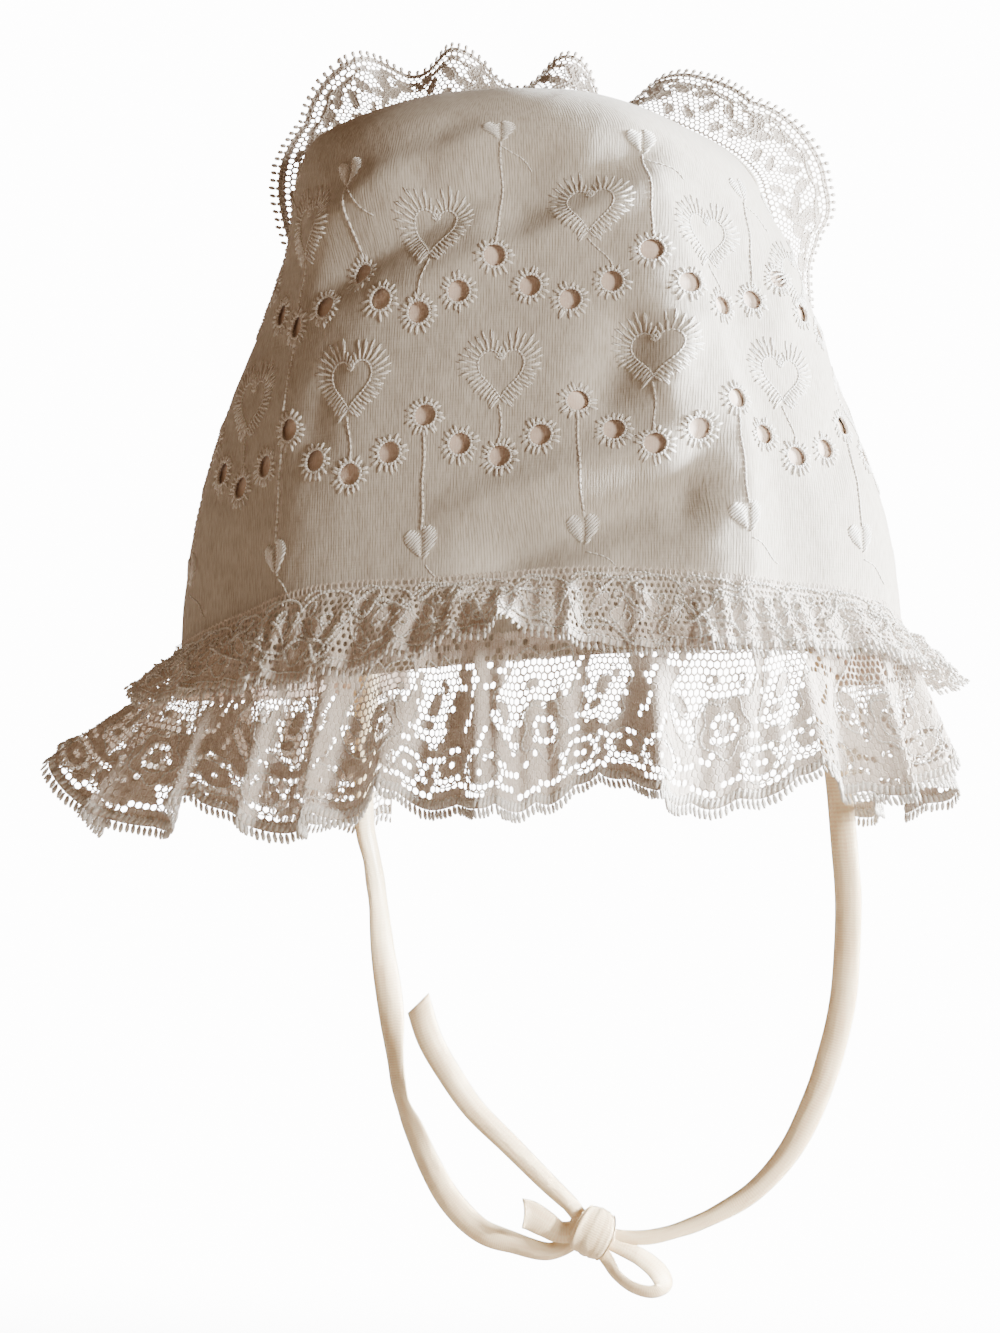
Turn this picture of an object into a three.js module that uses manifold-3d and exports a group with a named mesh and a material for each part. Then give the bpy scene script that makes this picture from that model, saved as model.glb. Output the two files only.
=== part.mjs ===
// A baby's christening bonnet of white eyelet cotton, with gathered lace frills and satin ribbon ties.
// Millimetres, +Z up. The wearer faces +Y, so the nape is towards -Y, and +X is to the right seen from the nape.
// The origin is inside the crown, where the top of the head would meet the cloth.
import * as THREE from "three";
import { mergeVertices } from "three/addons/utils/BufferGeometryUtils.js";
import Module from "manifold-3d";

const wasm = await Module();
wasm.setup();

// Cloth, lace and ribbon
const CLOTH_THICK = 1.2;
const LACE_THICK = 1.0;
const RIBBON_THICK = 1.2;
const SEAM_GAP = 0.4;

// Shell of the bonnet
const SHELL_COLUMNS = 36;
const SHELL_WALL_ROWS = 9;
const SHELL_CROWN_ROWS = 4;
const BACK_ROUNDNESS = 0.93;
const CROWN_ROUNDNESS = 1.7;

// Plan of the shell from the neck hem (rise 0) to the crown's shoulder (rise 1):
// half widths to the left and right, how far the nape stands back, and where the face edge is.
const SHELL_ROWS = [
  { rise: 0.0, left: 79.5, right: 79.5, nape: 52.5, face: 55, chinLeft: 40.5, chinRight: 57.5 },
  { rise: 0.055, left: 79.0, right: 79.0, nape: 52, face: 55, chinLeft: 41, chinRight: 57.5 },
  { rise: 0.2, left: 77.5, right: 77.5, nape: 51, face: 55, chinLeft: 43.5, chinRight: 57 },
  { rise: 0.32, left: 75.0, right: 75.0, nape: 50, face: 54, chinLeft: 45.5, chinRight: 56 },
  { rise: 0.435, left: 71.0, right: 70.5, nape: 48.5, face: 54, chinLeft: 46.5, chinRight: 55 },
  { rise: 0.55, left: 66.5, right: 65.5, nape: 46.5, face: 53, chinLeft: 47, chinRight: 53 },
  { rise: 0.66, left: 61.5, right: 61.0, nape: 44, face: 52, chinLeft: 47.5, chinRight: 51.5 },
  { rise: 0.775, left: 57.5, right: 57.0, nape: 41.5, face: 52, chinLeft: 48, chinRight: 49.5 },
  { rise: 0.885, left: 54.5, right: 52.0, nape: 39, face: 51, chinLeft: 48, chinRight: 46.5 },
  { rise: 1.0, left: 52.0, right: 45.5, nape: 36.5, face: 50, chinLeft: 46.5, chinRight: 42.5 },
];

// Heights of the hem and of the shoulder, from the left chin corner (-1) round the nape (0) to the right one (1)
const HEIGHT_ROWS = [
  { around: -1.0, hem: -131, shoulder: 0.5 },
  { around: -0.75, hem: -133, shoulder: -7 },
  { around: -0.5, hem: -131.5, shoulder: -12 },
  { around: -0.25, hem: -127.3, shoulder: -12 },
  { around: 0.0, hem: -122.6, shoulder: -13 },
  { around: 0.25, hem: -120.5, shoulder: -15 },
  { around: 0.5, hem: -121.8, shoulder: -20 },
  { around: 0.75, hem: -128, shoulder: -17 },
  { around: 1.0, hem: -130, shoulder: -15 },
];

// Ridge of the crown, from above the nape (along 0) to the middle of the face edge (along 1)
const RIDGE_ROWS = [
  { along: 0.0, x: -3, y: -24, z: -4.5 },
  { along: 0.3, x: -4, y: -4, z: 1.6 },
  { along: 0.65, x: -5, y: 22, z: 4.4 },
  { along: 1.0, x: -7, y: 50, z: 7.8 },
];

// Soft folds down the wall: distance from the nape line at the shoulder and at the hem, width and height
const WALL_FOLDS = [
  { top: 26, low: 46, width: 8, out: 2.2 },
  { top: 40, low: 66, width: 9, out: -1.6 },
  { top: -28, low: -40, width: 10, out: 1.3 },
  { top: -50, low: -62, width: 9, out: -1.4 },
  { top: 2, low: -6, width: 12, out: -1.0 },
  { top: -70, low: -92, width: 10, out: 1.6 },
  { top: 66, low: 94, width: 10, out: 1.8 },
];

// Eyelet garlands: height of the lowest eyelets, and how far the first peak is from the nape line
const EYELET_PERIOD = 32;
const EYELET_RADIUS = 2.4;
const EYELET_SIDES = 8;
const GARLAND_ROWS = [
  { rise: 0.384, peak: 15.5, reach: 140 },
  { rise: 0.672, peak: -2.7, reach: 116 },
];
// Places of the eyelets in one period, as shares of it: along from the peak, and up from the lowest one
const EYELET_STEPS = [
  { along: 0.0, up: 0.32 },
  { along: 0.235, up: 0.11 },
  { along: 0.5, up: 0.0 },
  { along: -0.235, up: 0.11 },
];
const GARLAND_TILT = 0.06;
const GARLAND_TILT_WIDTH = 60;

// Neck frills
const NECK_STEPS = 100;
const NECK_END = 0.985;
const LOWER_SEAM = 2;
const LOWER_WIDTH = 27;
const LOWER_SCALLOP = 8.5;
const LOWER_REPEAT = 41;
const UPPER_REPEAT = 13.65;
const UPPER_SCALLOP = 1.4;

// How the lower frill hangs, from chin corner to chin corner: degrees out from straight down, and the share of
// its width that its folds leave showing
const LOWER_ROWS = [
  { around: -1.0, flare: 0, hang: 1 },
  { around: -0.85, flare: 12, hang: 1 },
  { around: -0.72, flare: 48, hang: 1 },
  { around: -0.62, flare: 56, hang: 1 },
  { around: -0.52, flare: 40, hang: 1 },
  { around: -0.42, flare: 25, hang: 1 },
  { around: -0.3, flare: 18, hang: 1 },
  { around: -0.1, flare: 14, hang: 1 },
  { around: 0.1, flare: 13, hang: 1 },
  { around: 0.35, flare: 12, hang: 1 },
  { around: 0.5, flare: 12, hang: 0.95 },
  { around: 0.62, flare: 18, hang: 0.82 },
  { around: 0.75, flare: 10, hang: 0.92 },
  { around: 1.0, flare: 5, hang: 1 },
];

// The upper frill, from chin corner to chin corner: height of its top edge over the hem, its width,
// and degrees out from straight down
const UPPER_ROWS = [
  { around: -1.0, seam: 14, width: 14.5, flare: 18 },
  { around: -0.75, seam: 13, width: 15, flare: 36 },
  { around: -0.62, seam: 12, width: 15.5, flare: 48 },
  { around: -0.5, seam: 11, width: 13.5, flare: 32 },
  { around: -0.35, seam: 15.5, width: 16.5, flare: 21 },
  { around: -0.22, seam: 19, width: 20, flare: 20 },
  { around: -0.1, seam: 18, width: 17.5, flare: 32 },
  { around: 0.0, seam: 17.5, width: 16.5, flare: 46 },
  { around: 0.06, seam: 17.5, width: 17, flare: 42 },
  { around: 0.15, seam: 17, width: 17.5, flare: 22 },
  { around: 0.25, seam: 15.5, width: 16, flare: 20 },
  { around: 0.35, seam: 14, width: 14.5, flare: 23 },
  { around: 0.5, seam: 12, width: 13, flare: 25 },
  { around: 0.63, seam: 5, width: 12.5, flare: 50 },
  { around: 0.75, seam: 8, width: 13, flare: 42 },
  { around: 1.0, seam: 14, width: 14.5, flare: 18 },
];

// Crests and hollows of the lower frill: distance along the hem from the nape line, and how far out its edge stands
const NECK_FOLDS = [
  { along: -170, out: 0 },
  { along: -152, out: 3 },
  { along: -142, out: -3 },
  { along: -132, out: 4 },
  { along: -123, out: -4 },
  { along: -114, out: 5 },
  { along: -105, out: -4 },
  { along: -97, out: 6 },
  { along: -88, out: -5 },
  { along: -80, out: 6 },
  { along: -72, out: -5 },
  { along: -64, out: 5 },
  { along: -56, out: -5 },
  { along: -49, out: 5 },
  { along: -42, out: -4 },
  { along: -35, out: 5 },
  { along: -28, out: -4 },
  { along: -21, out: 5 },
  { along: -13, out: -3 },
  { along: -3, out: 6 },
  { along: 7, out: -2 },
  { along: 20, out: -3.5 },
  { along: 31, out: 7 },
  { along: 40, out: -2 },
  { along: 52, out: -4 },
  { along: 64, out: 3 },
  { along: 72, out: -3 },
  { along: 80, out: 5 },
  { along: 89, out: -4 },
  { along: 98, out: 4 },
  { along: 107, out: -4 },
  { along: 117, out: 4 },
  { along: 127, out: -4 },
  { along: 137, out: 4 },
  { along: 147, out: -3 },
  { along: 156, out: 3 },
  { along: 170, out: 0 },
];

// Face frill: distance along the face edge from the middle of the crown, lean away from straight forward
// in degrees, and how far the free edge stands out of its sheet
const FACE_STEPS = 78;
const FACE_WIDTH = 21.5;
const FACE_SCALLOP = 3.5;
const FACE_REPEAT = 27.3;
const FACE_SEAM_GAP = 0.7;
const FACE_END = 10;
const FACE_FOLDS = [
  { along: -170, lean: 40, out: 0 },
  { along: -140, lean: 60, out: 2 },
  { along: -124, lean: 70, out: -3 },
  { along: -108, lean: 80, out: 3 },
  { along: -94, lean: 88, out: -2 },
  { along: -80, lean: 92, out: 2 },
  { along: -68, lean: 92, out: -1 },
  { along: -56, lean: 88, out: 3 },
  { along: -46, lean: 80, out: 3 },
  { along: -39, lean: 72, out: 0 },
  { along: -33, lean: 50, out: -5 },
  { along: -25, lean: 38, out: 5 },
  { along: -17, lean: 36, out: 2 },
  { along: -9, lean: 28, out: -3 },
  { along: 0, lean: 31, out: 3 },
  { along: 7, lean: 30, out: 0 },
  { along: 13, lean: 22, out: -6 },
  { along: 22, lean: 35, out: 0 },
  { along: 32, lean: 38, out: 2 },
  { along: 44, lean: 44, out: 1 },
  { along: 56, lean: 42, out: 0 },
  { along: 65, lean: 36, out: 1 },
  { along: 74, lean: 21, out: -2 },
  { along: 84, lean: 7, out: 1 },
  { along: 94, lean: 6, out: -2 },
  { along: 106, lean: 6, out: 2 },
  { along: 120, lean: 8, out: -2 },
  { along: 136, lean: 10, out: 2 },
  { along: 170, lean: 12, out: 0 },
];

// Satin ribbon: places down the middle of each length, its width there, and its turn away from facing the nape
const TIE_RIGHT_ROWS = [
  { x: 57.2, y: 47.2, z: -121, width: 6.3, turn: 46 },
  { x: 57.8, y: 47.4, z: -130, width: 6.3, turn: 42 },
  { x: 59.9, y: 48.2, z: -141, width: 6.3, turn: 28 },
  { x: 61.7, y: 49.2, z: -152.5, width: 6.3, turn: 14 },
  { x: 63.3, y: 50.2, z: -170.2, width: 6.3, turn: 6 },
  { x: 63.9, y: 50.6, z: -179.4, width: 6.3, turn: 5 },
  { x: 63.6, y: 51.2, z: -190.9, width: 6.3, turn: 5 },
  { x: 62.7, y: 50.7, z: -202.5, width: 6.3, turn: 5 },
  { x: 60.2, y: 50.1, z: -214.1, width: 6.3, turn: 8 },
  { x: 56.4, y: 49.5, z: -225.7, width: 6.2, turn: 12 },
  { x: 50.7, y: 48.9, z: -237.3, width: 5.8, turn: 18 },
  { x: 42.6, y: 48.3, z: -246.8, width: 5.2, turn: 26 },
  { x: 33.4, y: 47.8, z: -252.8, width: 4.6, turn: 35 },
  { x: 25.3, y: 47.2, z: -256.4, width: 4.0, turn: 40 },
  { x: 18.3, y: 46.6, z: -258.2, width: 3.7, turn: 34 },
  { x: 12.2, y: 46.1, z: -258.3, width: 3.5, turn: 25 },
];
const TIE_LEFT_ROWS = [
  { x: -49.0, y: 46.0, z: -121, width: 6.3, turn: -29 },
  { x: -49.0, y: 46.0, z: -130, width: 6.3, turn: -33 },
  { x: -49.6, y: 46.4, z: -146, width: 6.3, turn: -50 },
  { x: -49.9, y: 47.4, z: -162.2, width: 6.3, turn: -60 },
  { x: -48.3, y: 48.5, z: -171.6, width: 6.3, turn: -62 },
  { x: -47.1, y: 49.5, z: -181.1, width: 6.3, turn: -58 },
  { x: -46.0, y: 50.3, z: -192.9, width: 6.3, turn: -40 },
  { x: -44.4, y: 50.8, z: -204.6, width: 6.3, turn: -5 },
  { x: -43.0, y: 50.3, z: -216.4, width: 6.3, turn: 35 },
  { x: -41.3, y: 49.8, z: -227.0, width: 6.3, turn: 50 },
  { x: -38.0, y: 49.2, z: -235.1, width: 6.3, turn: 30 },
  { x: -34.3, y: 48.7, z: -243.2, width: 6.3, turn: 12 },
  { x: -29.4, y: 48.2, z: -251.2, width: 6.3, turn: 5 },
  { x: -22.1, y: 47.6, z: -258.0, width: 6.2, turn: 5 },
  { x: -13.7, y: 47.1, z: -260.7, width: 5.6, turn: 10 },
  { x: -7.2, y: 46.6, z: -262.2, width: 4.8, turn: 15 },
  { x: -3.1, y: 46.2, z: -261.6, width: 4.2, turn: 15 },
];
const TAIL_LONG_ROWS = [
  { x: -0.2, y: 45.2, z: -250.9, width: 4.0, turn: 0 },
  { x: -1.5, y: 44.9, z: -249.6, width: 4.2, turn: 5 },
  { x: -6.1, y: 44.3, z: -245.2, width: 4.6, turn: 10 },
  { x: -14.2, y: 43.4, z: -237.1, width: 5.0, turn: 12 },
  { x: -22.4, y: 42.6, z: -229.0, width: 5.4, turn: 12 },
  { x: -28.1, y: 41.7, z: -220.8, width: 5.8, turn: 10 },
  { x: -32.7, y: 40.9, z: -212.6, width: 6.1, turn: 5 },
  { x: -35.4, y: 40.0, z: -203.9, width: 6.3, turn: 0 },
];
const TAIL_SHORT_ROWS = [
  { x: -2.7, y: 44.8, z: -255.8, width: 5.4, turn: -8 },
  { x: -5.9, y: 44.4, z: -254.7, width: 6.3, turn: -5 },
  { x: -10.3, y: 44.0, z: -253.2, width: 7.0, turn: 0 },
];
const LOOP_ROWS = [
  { x: 9.8, y: 45.0, z: -262.4, width: 3.6, turn: 0 },
  { x: 14.1, y: 43.4, z: -265.9, width: 5.4, turn: 5 },
  { x: 18.6, y: 42.6, z: -268.6, width: 6.3, turn: 8 },
  { x: 22.2, y: 43.0, z: -270.4, width: 6.3, turn: 8 },
  { x: 23.6, y: 44.6, z: -270.0, width: 6.3, turn: 8 },
  { x: 22.0, y: 46.2, z: -267.6, width: 6.3, turn: 8 },
  { x: 17.7, y: 46.8, z: -264.4, width: 5.4, turn: 8 },
  { x: 12.8, y: 46.8, z: -261.6, width: 3.6, turn: 5 },
];
const KNOT = { x: 4.9, y: 45.4, z: -257.4, wide: 13, deep: 9.6, tall: 11.4, tilt: -20 };

// Reads one column of a table between its rows, on a smooth curve through them
function read(rows, key, place, column) {
  const last = rows.length - 1;
  const at = Math.min(Math.max(place, rows[0][key]), rows[last][key]);
  let i = 0;
  while (i < last - 1 && at > rows[i + 1][key]) i += 1;
  const slope = (k) => {
    const a = rows[Math.max(k - 1, 0)];
    const b = rows[Math.min(k + 1, last)];
    return (b[column] - a[column]) / (b[key] - a[key]);
  };
  const span = rows[i + 1][key] - rows[i][key];
  const s = (at - rows[i][key]) / span;
  const ends = rows[i][column] * (2 * s ** 3 - 3 * s ** 2 + 1) + rows[i + 1][column] * (3 * s ** 2 - 2 * s ** 3);
  const slopes = slope(i) * (s ** 3 - 2 * s ** 2 + s) + slope(i + 1) * (s ** 3 - s ** 2);
  return ends + slopes * span;
}

// Half of the plan curve at one height, from the nape to the face edge, as points with their distance from the nape
const PLAN_STEPS = 64;
const planCache = new Map();
function halfPlan(rise, side) {
  const name = `${side} ${rise.toFixed(4)}`;
  if (planCache.has(name)) return planCache.get(name);
  const half = read(SHELL_ROWS, "rise", rise, side < 0 ? "left" : "right");
  const nape = read(SHELL_ROWS, "rise", rise, "nape");
  const face = read(SHELL_ROWS, "rise", rise, "face");
  const chin = read(SHELL_ROWS, "rise", rise, side < 0 ? "chinLeft" : "chinRight");
  const endTurn = Math.PI - Math.asin(chin / half);
  const frontReach = face / -Math.cos(endTurn);
  const points = [];
  for (let i = 0; i <= PLAN_STEPS; i += 1) {
    const turn = (endTurn * i) / PLAN_STEPS;
    const behind = turn < Math.PI / 2;
    const x = half * Math.sin(turn) ** (behind ? BACK_ROUNDNESS : 1);
    const y = behind ? -nape * Math.cos(turn) ** BACK_ROUNDNESS : -frontReach * Math.cos(turn);
    const before = points[i - 1];
    const far = before ? before.far + Math.hypot(x - before.x, y - before.y) : 0;
    points.push({ x, y, far });
  }
  planCache.set(name, points);
  return points;
}

// Length of the wall from the nape line to a chin corner at one height
function halfLength(rise, side) {
  return halfPlan(rise, side)[PLAN_STEPS].far;
}

// Point, outward direction and direction along the wall; around runs from -1 to 1 between the chin corners
function wallFrame(around, rise) {
  const side = around < 0 ? -1 : 1;
  const points = halfPlan(rise, side);
  const far = Math.abs(around) * points[PLAN_STEPS].far;
  let i = 0;
  while (i < PLAN_STEPS - 1 && far > points[i + 1].far) i += 1;
  const [a, b] = [points[i], points[i + 1]];
  const s = (far - a.far) / (b.far - a.far);
  const run = new THREE.Vector3((b.x - a.x) * side, b.y - a.y, 0).normalize();
  const out = new THREE.Vector3(run.y * side, -run.x * side, 0);
  const hem = read(HEIGHT_ROWS, "around", around, "hem");
  const shoulder = read(HEIGHT_ROWS, "around", around, "shoulder");
  const place = new THREE.Vector3(
    (a.x + (b.x - a.x) * s) * side,
    a.y + (b.y - a.y) * s,
    hem + (shoulder - hem) * rise,
  );
  const fade = Math.sin(Math.PI * Math.min(Math.max(rise * 0.75 + 0.15, 0), 1));
  for (const fold of WALL_FOLDS) {
    const middle = fold.low + (fold.top - fold.low) * rise;
    const away = (far * side - middle) / fold.width;
    place.addScaledVector(out, fold.out * fade * Math.exp(-away * away));
  }
  return { place, out, run: run.multiplyScalar(side), wall: shoulder - hem };
}

// Point of the crown, from the shoulder (over 0) to the ridge (over 1)
function crownPoint(around, over) {
  const shoulder = wallFrame(around, 1).place;
  const along = Math.abs(around);
  const ridge = new THREE.Vector3(
    read(RIDGE_ROWS, "along", along, "x"),
    read(RIDGE_ROWS, "along", along, "y"),
    read(RIDGE_ROWS, "along", along, "z"),
  );
  const turn = (over * Math.PI) / 2;
  const left = over === 1 ? 0 : Math.cos(turn) ** (2 / CROWN_ROUNDNESS);
  const up = Math.sin(turn) ** (2 / CROWN_ROUNDNESS);
  return new THREE.Vector3(
    ridge.x + (shoulder.x - ridge.x) * left,
    ridge.y + (shoulder.y - ridge.y) * left,
    shoulder.z + (ridge.z - shoulder.z) * up,
  );
}

// Open surface through a grid of points, with shared vertices merged and its normals worked out
function gridSurface(columns, rows, pointAt) {
  const positions = [];
  for (let i = 0; i <= columns; i += 1) {
    for (let j = 0; j <= rows; j += 1) positions.push(...pointAt(i / columns, j).toArray());
  }
  const faces = [];
  for (let i = 0; i < columns; i += 1) {
    for (let j = 0; j < rows; j += 1) {
      const a = i * (rows + 1) + j;
      const b = a + rows + 1;
      faces.push(a, b, b + 1, a, b + 1, a + 1);
    }
  }
  const geometry = new THREE.BufferGeometry();
  geometry.setAttribute("position", new THREE.Float32BufferAttribute(positions, 3));
  geometry.setIndex(faces);
  const merged = mergeVertices(geometry, 1e-3);
  const index = [];
  for (let i = 0; i < merged.index.count; i += 3) {
    const [a, b, c] = [merged.index.array[i], merged.index.array[i + 1], merged.index.array[i + 2]];
    if (a !== b && b !== c && a !== c) index.push(a, b, c);
  }
  merged.setIndex(index);
  merged.computeVertexNormals();
  return merged;
}

// Closed wall of even thickness: the surface moved out and in along its normals, with a rim round its free edges
function thicken(surface, outward, inward) {
  const count = surface.attributes.position.count;
  const place = new THREE.Vector3();
  const normal = new THREE.Vector3();
  const positions = [];
  for (const shift of [outward, -inward]) {
    for (let i = 0; i < count; i += 1) {
      place.fromBufferAttribute(surface.attributes.position, i);
      normal.fromBufferAttribute(surface.attributes.normal, i);
      positions.push(...place.addScaledVector(normal, shift).toArray());
    }
  }
  const faces = [];
  const edges = new Set();
  const index = surface.index.array;
  for (let i = 0; i < index.length; i += 3) {
    const [a, b, c] = [index[i], index[i + 1], index[i + 2]];
    faces.push(a, b, c, a + count, c + count, b + count);
    for (const [p, q] of [[a, b], [b, c], [c, a]]) edges.add(`${p} ${q}`);
  }
  for (const edge of edges) {
    const [p, q] = edge.split(" ").map(Number);
    if (!edges.has(`${q} ${p}`)) faces.push(q, p, p + count, q, p + count, q + count);
  }
  const geometry = new THREE.BufferGeometry();
  geometry.setAttribute("position", new THREE.Float32BufferAttribute(positions, 3));
  geometry.setIndex(faces);
  return geometry;
}

function solidFrom(geometry) {
  const bare = geometry.clone();
  bare.deleteAttribute("normal");
  bare.deleteAttribute("uv");
  const merged = mergeVertices(bare, 1e-4);
  const mesh = new wasm.Mesh({
    numProp: 3,
    vertProperties: new Float32Array(merged.attributes.position.array),
    triVerts: new Uint32Array(merged.index.array),
  });
  return new wasm.Manifold(mesh);
}

function geometryFrom(solid) {
  const mesh = solid.getMesh();
  const geometry = new THREE.BufferGeometry();
  geometry.setAttribute("position", new THREE.Float32BufferAttribute(mesh.vertProperties, 3));
  geometry.setIndex(Array.from(mesh.triVerts));
  return geometry;
}

// Shell of the bonnet: wall and crown in one cloth
function shellGeometry() {
  const rows = SHELL_WALL_ROWS + SHELL_CROWN_ROWS;
  const surface = gridSurface(SHELL_COLUMNS, rows, (share, row) => {
    const around = 2 * share - 1;
    if (row <= SHELL_WALL_ROWS) return wallFrame(around, row / SHELL_WALL_ROWS).place;
    return crownPoint(around, (row - SHELL_WALL_ROWS) / SHELL_CROWN_ROWS);
  });
  return thicken(surface, 0, CLOTH_THICK);
}

// Places of the open eyelets on the wall, as shares round it and heights up it
function eyeletPlaces() {
  const places = [];
  for (const garland of GARLAND_ROWS) {
    const most = Math.ceil(garland.reach / EYELET_PERIOD) + 1;
    for (let repeat = -most; repeat <= most; repeat += 1) {
      for (const step of EYELET_STEPS) {
        const along = garland.peak + (repeat + step.along) * EYELET_PERIOD;
        const tilt = GARLAND_TILT * along * Math.exp(-((along / GARLAND_TILT_WIDTH) ** 2));
        const wall = wallFrame(0, 0).wall;
        const rise = garland.rise + (step.up * EYELET_PERIOD + tilt) / wall;
        const around = along / halfLength(rise, along < 0 ? -1 : 1);
        if (Math.abs(along) < garland.reach) places.push({ around, rise });
      }
    }
  }
  return places;
}

function piercedShell() {
  let shell = solidFrom(shellGeometry());
  const punch = new THREE.CylinderGeometry(EYELET_RADIUS, EYELET_RADIUS, 10, EYELET_SIDES);
  for (const { around, rise } of eyeletPlaces()) {
    const { place } = wallFrame(around, rise);
    const beside = wallFrame(around + 0.01, rise).place.sub(place);
    const above = wallFrame(around, rise + 0.02).place.sub(place);
    const normal = beside.cross(above).normalize();
    const turn = new THREE.Quaternion().setFromUnitVectors(new THREE.Vector3(0, 1, 0), normal);
    const matrix = new THREE.Matrix4().compose(place, turn, new THREE.Vector3(1, 1, 1));
    shell = shell.subtract(solidFrom(punch.clone().applyMatrix4(matrix)));
  }
  return geometryFrom(shell);
}

// Sheet of a neck frill, before its thickness: it falls from a foot on the wall, turned out from straight down,
// and its edge waves in and out
function fallingSheet(foot, flare, reach, wave, slant) {
  const offset = SEAM_GAP + LACE_THICK / 2 + 0.3;
  const turn = THREE.MathUtils.degToRad(flare) * Math.min(reach / 5, 1);
  const down = new THREE.Vector3(0, 0, -1);
  const fall = foot.out.clone().multiplyScalar(Math.sin(turn)).addScaledVector(down, Math.cos(turn));
  const off = foot.out.clone().multiplyScalar(Math.cos(turn)).addScaledVector(down, -Math.sin(turn));
  return foot.place
    .clone()
    .addScaledVector(foot.out, offset)
    .addScaledVector(fall, reach)
    .addScaledVector(off, wave)
    .addScaledVector(foot.run, slant);
}

function lowerSheet(around, along, reach) {
  const foot = wallFrame(around, LOWER_SEAM / wallFrame(around, 0).wall);
  const grown = reach / LOWER_WIDTH;
  const wave = read(NECK_FOLDS, "along", along, "out") * grown ** 0.85;
  const slant = read(NECK_FOLDS, "along", along + 3.5, "out") * grown * 0.35;
  return fallingSheet(foot, read(LOWER_ROWS, "around", around, "flare"), reach, wave, slant);
}

function upperSheet(around, along, reach) {
  const seam = read(UPPER_ROWS, "around", around, "seam");
  const foot = wallFrame(around, seam / wallFrame(around, 0).wall);
  const grown = reach / read(UPPER_ROWS, "around", around, "width");
  const gather = Math.sin((2 * Math.PI * along) / 14.5 + 2.2 * Math.sin(along / 21));
  const slant = 0.9 * Math.cos((2 * Math.PI * along) / 14.5 + 2.2 * Math.sin(along / 21)) * grown;
  const wave = (1.1 + 1.3 * gather) * grown;
  return fallingSheet(foot, read(UPPER_ROWS, "around", around, "flare"), reach, wave, slant);
}

// Depth of a scalloped frill at one place along it, longest where the scallop's middle is
function scalloped(width, depth, repeat, along) {
  return width + depth * Math.abs(Math.cos((Math.PI * along) / repeat)) ** 0.7;
}

function lowerFrillGeometry() {
  const depths = [0, 0.12, 0.5, 1];
  const surface = gridSurface(NECK_STEPS, depths.length - 1, (share, row) => {
    const around = (1 - 2 * share) * NECK_END;
    const along = around * halfLength(0, around < 0 ? -1 : 1);
    const depth = scalloped(LOWER_WIDTH, LOWER_SCALLOP, LOWER_REPEAT, along);
    return lowerSheet(around, along, depths[row] * depth * read(LOWER_ROWS, "around", around, "hang"));
  });
  return thicken(surface, LACE_THICK / 2, LACE_THICK / 2);
}

function upperFrillGeometry() {
  const depths = [0, 0.3, 1];
  const surface = gridSurface(NECK_STEPS, depths.length - 1, (share, row) => {
    const around = (1 - 2 * share) * NECK_END;
    const along = around * halfLength(0, around < 0 ? -1 : 1);
    const width = read(UPPER_ROWS, "around", around, "width");
    return upperSheet(around, along, depths[row] * scalloped(width, UPPER_SCALLOP, UPPER_REPEAT, along));
  });
  return thicken(surface, LACE_THICK / 2, LACE_THICK / 2);
}

// Face edge of the cloth from the left chin corner over the crown to the right one, with distances from its middle
function faceEdge() {
  const side = (around) => {
    const points = [];
    for (let i = 0; i <= 40; i += 1) {
      const rise = (FACE_END / wallFrame(around, 0).wall) * (1 - i / 40) + i / 40;
      points.push(wallFrame(around, rise).place);
    }
    for (let i = 1; i <= 24; i += 1) points.push(crownPoint(around, i / 24));
    return points;
  };
  const right = side(1).reverse();
  const points = [...side(-1), ...right.slice(1)];
  const middle = side(-1).length - 1;
  const distances = [0];
  for (let i = 1; i < points.length; i += 1) distances.push(distances[i - 1] + points[i].distanceTo(points[i - 1]));
  return { points, distances: distances.map((far) => far - distances[middle]) };
}

const edge = faceEdge();
function faceEdgeAt(along) {
  const { points, distances } = edge;
  let i = 0;
  while (i < points.length - 2 && along > distances[i + 1]) i += 1;
  const s = (along - distances[i]) / (distances[i + 1] - distances[i]);
  const before = points[Math.max(i - 2, 0)];
  const after = points[Math.min(i + 3, points.length - 1)];
  const run = after.clone().sub(before).setY(0).normalize();
  return {
    place: points[i].clone().lerp(points[i + 1], s),
    run,
    out: new THREE.Vector3(-run.z, 0, run.x),
  };
}

function faceSheet(along, reach, stand) {
  const { place, run, out } = faceEdgeAt(along);
  const bend = Math.min(reach / 4, 1);
  const lean = THREE.MathUtils.degToRad(read(FACE_FOLDS, "along", along, "lean")) * bend;
  const grown = Math.min(Math.max(reach - 1.5, 0) / FACE_WIDTH, 1.2);
  const wave = read(FACE_FOLDS, "along", along, "out") * grown ** 0.85;
  const slant = read(FACE_FOLDS, "along", along + 3.5, "out") * grown * 0.3;
  const forward = new THREE.Vector3(0, 1, 0);
  const fall = out.clone().multiplyScalar(Math.sin(lean)).addScaledVector(forward, Math.cos(lean));
  const off = out.clone().multiplyScalar(Math.cos(lean)).addScaledVector(forward, -Math.sin(lean));
  return place
    .addScaledVector(out, -CLOTH_THICK / 2)
    .addScaledVector(forward, FACE_SEAM_GAP)
    .addScaledVector(fall, reach)
    .addScaledVector(off, wave + stand)
    .addScaledVector(run, slant);
}

function faceFrillGeometry() {
  const depths = [0, 0.2, 0.55, 1];
  const { distances } = edge;
  const [first, last] = [distances[0], distances[distances.length - 1]];
  const surface = gridSurface(FACE_STEPS, depths.length - 1, (share, row) => {
    const along = first + (last - first) * share;
    return faceSheet(along, depths[row] * scalloped(FACE_WIDTH, FACE_SCALLOP, FACE_REPEAT, along), 0);
  });
  return thicken(surface, LACE_THICK / 2, LACE_THICK / 2);
}

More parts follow.
